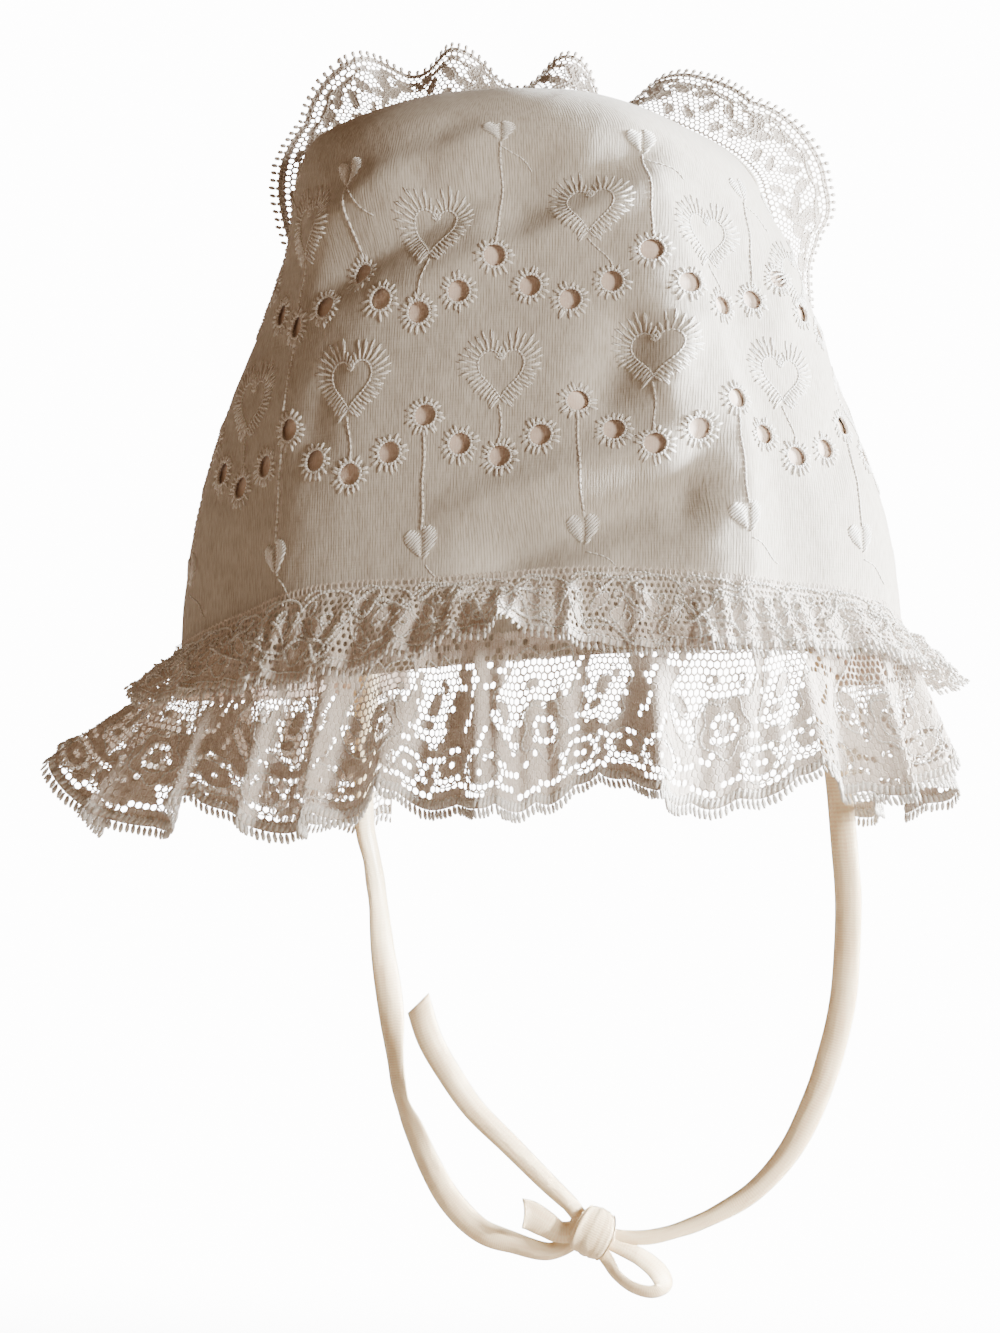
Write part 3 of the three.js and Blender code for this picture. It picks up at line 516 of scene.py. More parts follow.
def dent_at(along, up):
    """How far the soft dents and the finest wrinkles push the cloth out at a place along and up the wall."""
    out = np.zeros(np.shape(along))
    for s0, h0, s1, h1, width, depth in DENTS:
        ds, dh = s1 - s0, h1 - h0
        length = math.hypot(ds, dh)
        t = ((along - s0) * ds + (up - h0) * dh) / length**2
        off = ((along - s0) * -dh + (up - h0) * ds) / length
        end = np.clip(t * 4, 0, 1) * np.clip((1 - t) * 4, 0, 1)
        out += depth * np.exp(-((off / width) ** 2)) * end * end * (3 - 2 * end)
    line, height = read_rows(CREASE, 1, up), read_rows(CREASE, 2, up)
    off = along - line
    out += height * np.exp(-np.sqrt((off / np.where(off < 0, *CREASE_WIDTHS)) ** 2 + 0.02))
    out += 1.2 * np.exp(-(((along + 47 + up * 0.04) / 9) ** 2))
    pucker = np.sin(along * 0.83 + 2 * np.sin(up * 0.11)) * np.sin(up * 0.47 + 1.7 * np.sin(along * 0.21))
    low_gather = np.exp(-np.maximum(up, 0) / 9.0) * np.sin(along * 0.9 + 2.2 * np.sin(along * 0.13))
    return out + 0.07 * pucker + 0.45 * low_gather


def cloth_place(flat):
    """Places for flat cloth: along the wall, up it (past its top, over the crown), and off its face."""
    s, h = flat[:, 0], flat[:, 1]
    rise = h / WALL_HEIGHT

    def sharp(s, h):
        rise = np.clip(h / WALL_HEIGHT, 0, 1 + CROWN_RISE)
        low_rise = np.minimum(rise, 1)
        around = np.clip(s / half_length(s, low_rise), -1, 1)
        place = wall(around, low_rise)[0]
        over = rise > 1
        place[over] = crown(around[over], (rise[over] - 1) / CROWN_RISE)
        return place

    def surface(s, h):
        place = sharp(s, h)
        away = np.clip(1 - np.abs(h - WALL_HEIGHT - 2) / 26, 0, 1)
        near = away > 0
        reach = SHOULDER_ROUND * away[near] * (2 - away[near])
        steps = (-1, -0.66, -0.33, 0, 0.33, 0.66, 1)
        place[near] = sum(sharp(s[near], h[near] + reach * k) for k in steps) / len(steps)
        return place

    step = 0.6
    place = surface(s, h)
    across = surface(s + step, h) - surface(s - step, h)
    upward = surface(s, h + step) - surface(s, h - step)
    normal = np.cross(across, upward)
    weak = np.linalg.norm(normal, axis=1, keepdims=True) < 1e-4
    normal = np.where(weak, np.array([0.0, 0.0, 1.0]), unit(normal))
    fade = np.clip((1.2 - rise) / 0.25, 0, 1)
    return place + normal * (flat[:, 2] + dent_at(s, h) * fade)[:, None]


# Eyelet garlands, as in the source: height of the lowest eyelets, place of the first peak, and reach. Each
# step is one eyelet's place in a period, along from the peak and up from the lowest one.
EYELET_PERIOD = 32
EYELET_RADIUS = 2.4
EYELET_DRAW = 1.2
GARLANDS = ((0.384, 15.5, 140), (0.672, -2.7, 116))
EYELET_STEPS = ((0.0, 0.32), (0.235, 0.11), (0.5, 0.0), (-0.235, 0.11))
GARLAND_TILT = 0.06
GARLAND_TILT_WIDTH = 60
eyelets = []
for rise, peak, reach in GARLANDS:
    most = math.ceil(reach / EYELET_PERIOD) + 1
    for repeat in range(-most, most + 1):
        for along, up in EYELET_STEPS:
            s = peak + (repeat + along) * EYELET_PERIOD
            tilt = GARLAND_TILT * s * math.exp(-((s / GARLAND_TILT_WIDTH) ** 2))
            if abs(s) < reach:
                eyelets.append((s, rise * WALL_HEIGHT + up * EYELET_PERIOD + tilt))
eyelets = np.array(eyelets)

CLOTH_COLUMNS = 288
CLOTH_WALL_ROWS = 92
CLOTH_CROWN_ROWS = 30


def flat_cloth(grid, rise, off=0.0):
    """Flat places for a grid of cloth that runs from chin corner to chin corner."""
    around = 2 * grid[:, 0]
    along = around * half_length(around, np.minimum(rise, 1))
    return np.stack([along, rise * WALL_HEIGHT, 0 * rise + off], -1)


def hang_cloth(bm, flat):
    """Lays a flat cloth on the bonnet, welds it over the crown and rounds the end of the ridge off.

    It gives the flat places of the points that are left.
    """
    move_to(bm, cloth_place(flat) * MM)
    keep = keep_flat(bm, flat)
    bmesh.ops.remove_doubles(bm, verts=bm.verts, dist=CROWN_WELD)
    end = Vector((RIDGE["x"][0], RIDGE["y"][0], RIDGE["z"][0])) * MM
    near = [v for v in bm.verts if (v.co - end).length < RIDGE_ROUND * MM and not v.is_boundary]
    for _ in range(RIDGE_PASSES):
        bmesh.ops.smooth_vert(bm, verts=near, factor=0.5, use_axis_x=True, use_axis_y=True, use_axis_z=True)
    return [v[keep][:] for v in bm.verts]


def thicken(piece, thickness):
    layer = piece.modifiers.new("cloth_thickness", "SOLIDIFY")
    layer.thickness = thickness * MM
    layer.offset = -1


bm, grid = grid_of(CLOTH_COLUMNS, CLOTH_WALL_ROWS + CLOTH_CROWN_ROWS)
row = (grid[:, 1] + 0.5) * (CLOTH_WALL_ROWS + CLOTH_CROWN_ROWS)
rise = np.where(row <= CLOTH_WALL_ROWS + 1e-6, row / CLOTH_WALL_ROWS,
                1 + CROWN_RISE * (row - CLOTH_WALL_ROWS) / CLOTH_CROWN_ROWS)
move_to(bm, flat_cloth(grid, rise))
inside = []
for face in bm.faces:
    middle = face.calc_center_median()
    if middle.y < WALL_HEIGHT and np.min(np.hypot(*(eyelets - np.array(middle[:2])).T)) < EYELET_RADIUS:
        inside.append(face)
bmesh.ops.delete(bm, geom=inside, context="FACES")
for v in bm.verts:
    if v.co.y > WALL_HEIGHT:
        continue
    away = np.array(v.co[:2]) - eyelets
    far = np.hypot(*away.T)
    k = int(np.argmin(far))
    if v.is_boundary and far[k] < EYELET_RADIUS + EYELET_DRAW or far[k] < EYELET_RADIUS:
        v.co.x, v.co.y = eyelets[k] + away[k] / max(far[k], 1e-6) * EYELET_RADIUS
flat = hang_cloth(bm, points_of(bm))

COTTON_LIGHT = (0.70, 0.655, 0.585, 1)
COTTON_DARK = (0.50, 0.45, 0.38, 1)
cotton = woven("fine_cotton", COTTON_LIGHT, COTTON_DARK, roughness=0.88, along=0.32, across=2.7,
               depth=0.00018, contrast=(0.26, 0.62), sheen=(0.3, 0.5))
cloth = finish_piece(bm, "bonnet_cloth", cotton, flat)
thicken(cloth, 0.45)
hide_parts("bonnet_body")

# Inside the cotton is a plain smooth lining of thin rosy lawn, caught with it at the hems.
# It shows through the eyelets.
LINING_INSIDE = 0.95
LINING_LIGHT = (0.90, 0.76, 0.66, 1)
LINING_DARK = (0.83, 0.68, 0.58, 1)
bm, grid = grid_of(240, 100)
flat = hang_cloth(bm, flat_cloth(grid, (grid[:, 1] + 0.5) * (1 + CROWN_RISE), -LINING_INSIDE))
lawn = woven("lining_lawn", LINING_LIGHT, LINING_DARK, roughness=0.5, along=1.2, across=1.2,
             depth=0.00004, sheen=(0.2, 0.5))
lining = finish_piece(bm, "bonnet_lining", lawn, flat)
thicken(lining, 0.2)

# The embroidery is thick soft white thread. Each eyelet has a whipped rim with short rays, each large heart
# is an open outline with long rays round it, and each small heart is filled with slanted satin stitches.
# Places are along the wall from the nape line and up it from the hem, in millimetres.
BIG_HEARTS = (
    (-98, 56), (-65.5, 57.5), (-33.3, 58.6), (-0.7, 58.9), (30.8, 62.7), (60.7, 60.8), (92, 58), (124, 57),
    (-114, 92), (-82, 92), (-49.5, 91.5), (-16.9, 89.6), (16.7, 93.7), (42.4, 90.4), (68.2, 85.6), (100, 88),
)
SMALL_HEARTS = (
    (-116, 25), (-84, 25), (-50.5, 24.9), (-16.6, 24.9), (17, 26), (49.3, 27.9), (80, 26), (112, 25),
    (-66, 105), (-37, 102.2), (-2.4, 112), (28.3, 112), (54.8, 106.3), (84, 104),
)
HEART_SIZE = (9.8, 10.4)
HEART_RAY = 4.3
SMALL_HEART_SIZE = (7.4, 7.6)
SATIN_SLANT, SATIN_SPACING = math.radians(42), 0.56
STITCH_WIDTH = 0.34
RIM_STITCHES = 22
THREAD_COLOUR = (0.97, 0.96, 0.93, 1)
THREAD_SHADE = (0.9, 0.88, 0.84, 1)


def heart_outline(width, height, count):
    """Even places round a heart, its point down, with the outward direction at each."""
    t = np.linspace(0, 2 * math.pi, 721)
    x = 16 * np.sin(t) ** 3 / 32 * width
    y = (13 * np.cos(t) - 5 * np.cos(2 * t) - 2 * np.cos(3 * t) - np.cos(4 * t) + 2.5) / 29 * height
    far = np.concatenate([[0], np.cumsum(np.hypot(np.diff(x), np.diff(y)))])
    at = (np.arange(count) + 0.5) / count * far[-1]
    places = np.stack([np.interp(at, far, x), np.interp(at, far, y)], -1)
    ways = np.stack([np.interp(at + 0.3, far, x) - np.interp(at - 0.3, far, x),
                     np.interp(at + 0.3, far, y) - np.interp(at - 0.3, far, y)], -1)
    return places, unit(np.stack([-ways[:, 1], ways[:, 0]], -1))


bm = bmesh.new()
bmesh.ops.create_icosphere(bm, subdivisions=1, radius=1)
grain = bpy.data.meshes.new("thread_grain")
bm.to_mesh(grain)
GRAIN_POINTS = points_of(bm)
bm.free()


def stitch(laid, start, end, width=STITCH_WIDTH, height=0.3, off=0.05):
    """One stitch of thread from one flat place to another: a long smooth grain, put on a list to be sewn."""
    way = np.subtract(end, start)
    far = max(float(np.hypot(*way)), 1e-6)
    along, side = way / far, np.array([-way[1], way[0]]) / far
    points = GRAIN_POINTS * np.array([far / 2 * 1.15, width / 2 * 1.2, height / 2 * 1.2])
    flat = np.add(start, end) / 2 + points[:, :1] * along + points[:, 1:2] * side
    laid.append(np.concatenate([flat, points[:, 2:] + off], axis=1))


def sew(laid):
    """All the stitches of a list as one mesh."""
    bm = bmesh.new()
    for _ in laid:
        bm.from_mesh(grain)
    move_to(bm, np.concatenate(laid))
    return bm


def loose(spread):
    return random.uniform(-spread, spread)


def thread_line(laid, start, end, wave, length=1.7, width=0.3):
    """A line of running stitches that wanders a little."""
    way = np.subtract(end, start)
    count = max(int(np.hypot(*way) / length), 2)
    side = np.array([-way[1], way[0]]) / np.hypot(*way)
    places = [np.add(start, way * k / count) + side * wave * math.sin(k * 0.8 + start[0])
              for k in range(count + 1)]
    for a, b in zip(places, places[1:]):
        stitch(laid, a, b, width, width * 1.1)


def beside(centre, reach, a):
    return centre[0] + reach * math.cos(a), centre[1] + reach * math.sin(a)


def eyelet_rim(laid, centre):
    count = random.choice((16, 17, 18, 19))
    turn = loose(0.2)
    for k in range(count):
        a = turn + 2 * math.pi * k / count + loose(0.06)
        reach = EYELET_RADIUS + 1.75 + loose(0.4) - 0.25 * math.sin(a)
        lean = a + loose(0.12)
        stitch(laid, beside(centre, EYELET_RADIUS - 0.05, a), beside(centre, reach, lean), 0.56, 0.6)
    for k in range(RIM_STITCHES):
        a, b = 2 * math.pi * k / RIM_STITCHES, 2 * math.pi * (k + 1) / RIM_STITCHES
        stitch(laid, beside(centre, EYELET_RADIUS + 0.06, a), beside(centre, EYELET_RADIUS + 0.06, b),
               0.62, 0.75, 0.02)


def big_heart(laid, centre):
    inner, out = heart_outline(*HEART_SIZE, 46)
    for k, (place, way) in enumerate(zip(inner, out)):
        top = 0.5 + 0.5 * math.tanh((place[1] - 0.5) / 2.0)
        length = HEART_RAY * (0.7 + 0.3 * top) + loose(0.45)
        if abs(place[0]) < 1.7 and place[1] > 0:
            length *= 0.3 + 0.3 * abs(place[0]) / 1.7
        way = unit(way + unit(place - np.array([0, -1.0])) * 0.55)
        start = np.add(centre, place)
        stitch(laid, start, start + way * length * (0.92 if k % 2 else 0.62), 0.42, 0.46)
        fan = unit(way + np.array([-way[1], way[0]]) * 0.1)
        stitch(laid, start + fan * length * 0.5, start + fan * length * 1.03, 0.36, 0.42)
    border, _ = heart_outline(*HEART_SIZE, 40)
    for a, b in zip(border, np.roll(border, -1, axis=0)):
        stitch(laid, np.add(centre, a), np.add(centre, b), 0.42, 0.4)


def inside_field(x, q, corners):
    """Which places lie inside a closed outline."""
    inside = np.zeros(len(x), bool)
    for (x0, q0), (x1, q1) in zip(corners, corners[1:] + corners[:1]):
        between = (q0 > q) != (q1 > q)
        inside ^= between & (x < (x1 - x0) * (q - q0) / (q1 - q0 + 1e-9) + x0)
    return inside


def small_heart(laid, centre):
    outline, _ = heart_outline(*SMALL_HEART_SIZE, 40)
    turn = 0.16 + loose(0.08)
    outline = outline @ np.array([[math.cos(turn), math.sin(turn)], [-math.sin(turn), math.cos(turn)]])
    corners = [tuple(p) for p in outline]
    slope = np.array([math.cos(SATIN_SLANT), math.sin(SATIN_SLANT)])
    side = np.array([-slope[1], slope[0]])
    t = np.linspace(-6, 6, 97)
    for k in range(-10, 11):
        line = side * (k * SATIN_SPACING) + slope * t[:, None]
        held = inside_field(line[:, 0], line[:, 1], corners)
        for half in (line[:, 0] < -0.12, line[:, 0] > 0.12):
            run = line[held & half]
            if len(run) > 4:
                ends = np.add(centre, run[0]) + loose(0.06), np.add(centre, run[-1]) + loose(0.06)
                stitch(laid, *ends, 0.52, 0.62)


laid = []
for centre in eyelets:
    eyelet_rim(laid, centre)
for centre in BIG_HEARTS:
    big_heart(laid, centre)
for centre in SMALL_HEARTS:
    small_heart(laid, centre)
    x, y = centre
    nearest = eyelets[np.argmin(np.abs(eyelets[:, 0] - x) + np.abs(eyelets[:, 1] - y) * 0.25
                                - eyelets[:, 1] * (0.2 if y < 60 else -0.2))]
    top, foot = (nearest, centre) if nearest[1] > y else (centre, nearest)
    thread_line(laid, (foot[0], foot[1] + 3), (top[0], top[1] - 3), wave=0.14, length=1.3, width=0.5)
    thread_line(laid, (x + 0.8, y - 4), (x + 7 + loose(2), y - 9), wave=0.5, length=1.2, width=0.3)
for x, y in BIG_HEARTS:
    below = eyelets[np.argmin(np.hypot(eyelets[:, 0] - x, eyelets[:, 1] - y + 15))]
    thread_line(laid, (x, y - 6), (below[0], below[1] + 3.4), wave=0.3, length=1.3, width=0.36)
bm = sew(laid)
flat = points_of(bm)
move_to(bm, cloth_place(flat) * MM)
cotton_thread = woven("embroidery_thread", THREAD_COLOUR, THREAD_SHADE, roughness=0.6, along=3.0, across=3.0,
                      depth=0.00005, sheen=(0.3, 0.5))
embroidery = finish_piece(bm, "bonnet_embroidery", cotton_thread, flat)

# The neck frill is two tiers of white machine lace, gathered on to the cloth near its hem.
# The lower tier is the deep one: it falls in folds, and its edge is scalloped.
LACE_OFF_CLOTH = 1.2
LOWER_SEAM, LOWER_WIDTH, LOWER_SCALLOP, LOWER_REPEAT = 5, 29.5, 8.5, 41
LOWER_SMALL_SCALLOP = 1.5
# How it hangs: share of the way to a chin corner, degrees out from straight down, and share of its depth
LOWER_ROWS = (
    (-1, 0, 1), (-0.85, 12, 1), (-0.72, 48, 1), (-0.62, 56, 1), (-0.52, 40, 1), (-0.42, 25, 1),
    (-0.3, 18, 1), (-0.1, 14, 1), (0.1, 13, 1), (0.35, 12, 1), (0.5, 12, 0.95), (0.62, 18, 0.82),
    (0.75, 10, 0.92), (1, 5, 1),
)
# Its folds: place along the wall, and how far out
NECK_FOLDS = (
    (-170, 0), (-152, 3), (-142, -3), (-132, 4), (-123, -4), (-114, 5), (-105, -4), (-97, 6), (-88, -5),
    (-80, 6), (-72, -5), (-64, 5), (-56, -5), (-49, 5), (-42, -4), (-35, 5), (-28, -4), (-21, 5), (-13, -3),
    (-3, 6), (7, -2), (20, -3.5), (31, 7), (40, -2), (52, -4), (64, 3), (72, -3), (80, 5), (89, -4), (98, 4),
    (107, -4), (117, 4), (127, -4), (137, 4), (147, -3), (156, 3), (170, 0),
)
NECK_END = 0.985
LACE_COLOUR = (0.84, 0.775, 0.71, 1)
LACE_SHADE = (0.69, 0.61, 0.54, 1)
CORD_COLOUR = (0.92, 0.91, 0.88, 1)
CORD_SHADE = (0.8, 0.78, 0.74, 1)
HEX_WIDTH = 1.42
HEX_HEIGHT = 1.75
HEX_WELD = 0.01
LACE_STEP = 0.35
RIM_STEP = 0.6


def scalloped(width, depth, repeat, along):
    return width + depth * np.abs(np.cos(np.pi * along / repeat)) ** 0.7


def falling(foot, swell, flare, reach, wave, slant):
    """A frill's sheet: it falls in waves from its foot on the cloth, turned out from straight down."""
    place, out, run, _ = foot
    stand = LACE_OFF_CLOTH + np.maximum(swell, 0)
    turn = (np.radians(flare) * np.minimum(reach / 5, 1))[..., None]
    down = np.array([0.0, 0.0, -1.0])
    fall = out * np.sin(turn) + down * np.cos(turn)
    off = out * np.cos(turn) - down * np.sin(turn)
    return (place + out * stand[..., None] + fall * reach[..., None] + off * wave[..., None]
            + run * slant[..., None])


def lower_sheet(along, reach):
    around = along / half_length(along, 0)
    foot = wall(around, LOWER_SEAM / wall(around, 0)[3])
    grown = np.maximum(reach, 0) / LOWER_WIDTH
    wave = read_rows(NECK_FOLDS, 1, along) * grown**0.85
    pleat = np.sin(2 * np.pi * along / 7.3 + 2.4 * np.sin(along / 11)) * (0.6 + 0.4 * np.sin(along / 13 + 1))
    wave = wave + 1.15 * pleat * np.minimum(grown * 2.2, 1) * (1 - 0.35 * grown)
    slant = read_rows(NECK_FOLDS, 1, along + 3.5) * grown * 0.35
    slant = slant + 1.3 * np.sin(along / 9 + 0.7) * grown**2
    swell = dent_at(along, LOWER_SEAM + 0 * along)
    return falling(foot, swell, read_rows(LOWER_ROWS, 1, around), reach, wave, slant)


def lower_depth(along):
    around = along / half_length(along, 0)
    small = LOWER_SMALL_SCALLOP * (np.abs(np.sin(5 * np.pi * along / LOWER_REPEAT)) - 0.5)
    edge = scalloped(LOWER_WIDTH, LOWER_SCALLOP, LOWER_REPEAT, along) + small
    return edge * read_rows(LOWER_ROWS, 2, around)


class Lace:
    """One frill: its sheet, its depth, and the length of lace that its folds take up."""

    def __init__(self, sheet, depth, first, last, even_at, width):
        self.sheet, self.depth, self.width = sheet, depth, width
        self.along = np.linspace(first, last, 2400)
        points = sheet(self.along, np.full(len(self.along), float(even_at)))
        far = np.concatenate([[0], np.cumsum(np.linalg.norm(np.diff(points, axis=0), axis=1))])
        self.far = far - np.interp(0, self.along, far)
        self.length = far[-1]

    def far_of(self, along):
        return np.interp(along, self.along, self.far)

    def along_of(self, far):
        return np.interp(far, self.far, self.along)

    def drawn(self, flat):
        """Even strip places drawn down so that the strip's lower edge becomes the scalloped one."""
        stretch = self.depth(self.along_of(flat[:, 0])) / self.width
        return np.stack([flat[:, 0], flat[:, 1] * stretch, flat[:, 2]], -1)

    def place(self, flat):
        """Places for flat lace: along its length, down from its seam, and off its face."""
        def at(u, v):
            return self.sheet(self.along_of(u), v)

        u = np.clip(flat[:, 0], self.far[0] + 0.4, self.far[-1] - 0.4)
        across = at(u + LACE_STEP, flat[:, 1]) - at(u - LACE_STEP, flat[:, 1])
        downward = at(u, flat[:, 1] + LACE_STEP) - at(u, flat[:, 1] - LACE_STEP)
        return at(u, flat[:, 1]) + unit(np.cross(downward, across)) * flat[:, 2:3]


def hex_field(first, last, depth):
    """Hexagon cells side by side over a flat strip of lace, welded where they meet."""
    bm = bmesh.new()
    bmesh.ops.create_circle(bm, cap_ends=True, radius=HEX_WIDTH / math.sqrt(3), segments=6)
    bmesh.ops.scale(bm, verts=bm.verts, vec=(1, HEX_HEIGHT / (2 * HEX_WIDTH / math.sqrt(3)), 1))
    bmesh.ops.translate(bm, verts=bm.verts, vec=(first, 0, 0))
    step = HEX_HEIGHT * 0.75
    across = max(int((last - first) / HEX_WIDTH), 1)
    down = int(depth / (2 * step)) + 1
    for move, steps in (((HEX_WIDTH / 2, step, 0), 1), ((HEX_WIDTH, 0, 0), across), ((0, 2 * step, 0), down)):
        bmesh.ops.spin(bm, geom=bm.faces[:], cent=(0, 0, 0), axis=(0, 0, 1), dvec=move,
                       angle=0, steps=steps, use_duplicate=True)
    bmesh.ops.remove_doubles(bm, verts=bm.verts, dist=HEX_WELD)
    return bm


def net_piece(name, lace, is_solid, material, rim, thread):
    """The net of a frill, with its solid cells raised a little and its open cells left as thin threads.

    The cells' rows follow the scalloped edge: they are laid out on an even strip, then drawn down to it.
    """
    bm = hex_field(lace.far[0], lace.far[-1], lace.width)
    middle = np.array([f.calc_center_median()[:] for f in bm.faces])
    gone = middle[:, 1] > lace.width - rim
    solid = is_solid(lace, middle[:, 0], lace.width - middle[:, 1]) & ~gone
    faces = np.array(bm.faces[:], dtype=object)
    opened, filled, outside = list(faces[~gone & ~solid]), list(faces[solid]), list(faces[gone])
    bmesh.ops.inset_individual(bm, faces=opened, thickness=thread, depth=-0.08, use_even_offset=True)
    if filled:
        bmesh.ops.inset_individual(bm, faces=filled, thickness=0.2, depth=0.12, use_even_offset=True)
    bmesh.ops.delete(bm, geom=opened + outside, context="FACES")
    bmesh.ops.delete(bm, geom=[v for v in bm.verts if not v.link_faces], context="VERTS")
    flat = lace.drawn(points_of(bm))
    move_to(bm, lace.place(flat) * MM)
    return finish_piece(bm, name, material, flat, smooth=False)


def rim_piece(name, lace, material, inner, outer):
    """The narrow solid band of a frill inside its picots, following its scallops."""
    bm, grid = grid_of(int(lace.length / RIM_STEP), 2)
    u = lace.far[0] + (grid[:, 0] + 0.5) * lace.length
    q = inner + (outer - inner) * (grid[:, 1] + 0.5)
    flat = lace.drawn(np.stack([u, lace.width - q, 0.12 * np.cos(np.pi * grid[:, 1])], -1))
    move_to(bm, lace.place(flat) * MM)
    bmesh.ops.recalc_face_normals(bm, faces=bm.faces)
    return finish_piece(bm, name, material, flat)


def trace(laid, points, width, height, step=0.9, off=0.1):
    """Outline thread along a line of places in the repeat: along the lace, and in from its edge."""
    points = np.array(points, float)
    far = np.concatenate([[0], np.cumsum(np.hypot(*np.diff(points, axis=0).T))])
    count = max(int(far[-1] / step), 1)
    at = np.linspace(0, far[-1], count + 1)
    line = np.stack([np.interp(at, far, points[:, 0]), np.interp(at, far, points[:, 1])], -1)
    for start, end in zip(line, line[1:]):
        stitch(laid, start, end, width, height, off)


def ring(centre, size, turn=0.0, count=28, lobes=0, lobe=0.0):
    """Places round an oval, turned, with lobes where it is a flower."""
    a = np.linspace(0, 2 * math.pi, count + 1)
    reach = 1 + lobe * np.cos(lobes * a)
    x, y = size[0] * np.cos(a) * reach, size[1] * np.sin(a) * reach
    return np.stack([centre[0] + x * math.cos(turn) - y * math.sin(turn),
                     centre[1] + x * math.sin(turn) + y * math.cos(turn)], -1)


def within(x, q, centre, size, turn=0.0):
    """How far places are from an oval's middle, 1 on the oval, with the angle they are at."""
    dx, dy = x - centre[0], q - centre[1]
    along = (dx * math.cos(turn) + dy * math.sin(turn)) / size[0]
    across = (dy * math.cos(turn) - dx * math.sin(turn)) / size[1]
    return np.hypot(along, across), np.arctan2(across, along)


def sew_lace(name, lace, laid, material):
    """Outline threads and picots of a frill: drawn out to its scallops and laid on its folds."""
    bm = sew(laid)
    flat = points_of(bm)
    flat[:, 1] = lace.width - flat[:, 1]
    inside = (flat[:, 0] > lace.far[0] + 0.3) & (flat[:, 0] < lace.far[-1] - 0.3)
    flat[:, 0] = np.clip(flat[:, 0], lace.far[0] + 0.3, lace.far[-1] - 0.3)
    flat = lace.drawn(flat)
    move_to(bm, lace.place(flat) * MM)
    gone = [v for v, stays in zip(bm.verts, inside) if not stays]
    bmesh.ops.delete(bm, geom=gone, context="VERTS")
    return finish_piece(bm, name, material, flat[inside])


lace_thread = woven("lace_thread", LACE_COLOUR, LACE_SHADE, roughness=0.82, along=2.2, across=2.2,
                    depth=0.00006, sheen=(0.3, 0.5))
cordonnet = woven("lace_outline_thread", CORD_COLOUR, CORD_SHADE, roughness=0.55, along=3.0, across=3.0,
                  depth=0.00005)

# One repeat of the lower tier's pattern, in millimetres along the lace and in from its edge. Most of it is
# solid. It opens into two fields of net, rows of single holes that follow the edge, a ring of holes for the
# eye of the flower, and rings of holes round the ovals near the edge.
LOWER_PATTERN = 45.5
LOWER_FIRST = 10
FLOWER_PLACE, FLOWER_SIZE, FLOWER_EYE = (0.0, 15.2), 5.0, (1.5, 3.0)
NET_FIELDS = (
    ((-9.2, 25.6), (-7.6, 29.6), (-4.0, 30.2), (-1.4, 28.0), (1.4, 30.0), (5.4, 29.8), (7.8, 26.0),
     (5.8, 20.4), (2.2, 20.6), (-1.5, 20.4), (-4.6, 19.2), (-6.6, 16.6), (-7.0, 12.6), (-9.4, 12.0),
     (-12.2, 14.6), (-13.6, 18.6), (-12.6, 22.6)),
    ((9.8, 25.0), (10.6, 29.0), (14.4, 28.4), (16.8, 30.2), (20.8, 28.4), (22.0, 23.6), (18.4, 19.0),
     (18.8, 15.4), (15.4, 13.2), (10.6, 14.0), (8.0, 16.6), (9.8, 20.0)),
)
NET_LEAVES = (
    ((-10.6, 19.0), (2.6, 1.3), 2.3), ((-3.2, 23.6), (1.5, 0.9), 0.4), ((14.4, 21.2), (2.9, 1.5), 0.9),
    ((17.6, 24.0), (1.9, 1.0), 2.4), ((12.2, 17.2), (1.8, 0.9), 0.2), ((3.6, 23.4), (1.4, 0.8), 1.4),
)
OVALS = (((-16.5, 8.4), (4.4, 2.5), -0.15), ((8.4, 8.0), (3.3, 2.2), 0.1), ((19.6, 9.0), (3.4, 2.0), 0.2))
# Wavy rows of holes: in from the edge, swing, turn and half width. Straight ones: from one place to another
WAVY_ROWS = ((5.0, 0.8, 0, 0.72), (9.6, 1.3, 1.6, 0.68))
HOLE_ROWS = (((-23.0, 15.4), (-20.0, 17.6)), ((-20.0, 17.6), (-18.6, 21.2)), ((-18.6, 21.2), (-16.8, 25.0)),
             ((-17.0, 13.6), (-14.6, 15.6)), ((4.6, 12.6), (8.0, 13.2)))
HOLE_HALF = 0.62
HEADER_FROM, HEADER_OPEN = 23.5, 0.36


def middles_of(lace, first, pattern, past):
    """Places along the lace of the middles of its repeats, with those a little past its ends."""
    most = int(lace.length / pattern) + 1
    places = [first + pattern * k for k in range(-most, most)]
    return [place for place in places if lace.far[0] - past < place < lace.far[-1] + past]


def in_repeat(u, middles):
    """Places along the lace, counted from the middle of the nearest repeat."""
    middles = np.array(middles)
    return u - middles[np.argmin(np.abs(u[:, None] - middles), axis=1)]


def off_line(x, q, start, end):
    """How far places are from a straight line."""
    (x0, q0), (x1, q1) = start, end
    share = np.clip(((x - x0) * (x1 - x0) + (q - q0) * (q1 - q0)) / ((x1 - x0) ** 2 + (q1 - q0) ** 2), 0, 1)
    return np.hypot(x - x0 - share * (x1 - x0), q - q0 - share * (q1 - q0))


def lower_middles(lace):
    return middles_of(lace, float(lace.far_of(LOWER_FIRST)), LOWER_PATTERN, past=20)


def drift(x, q):
    """The small unevenness of the net fields' edges."""
    return 0.8 * np.sin(1.1 * q + 0.4 * x), 0.8 * np.sin(0.9 * x + 1)


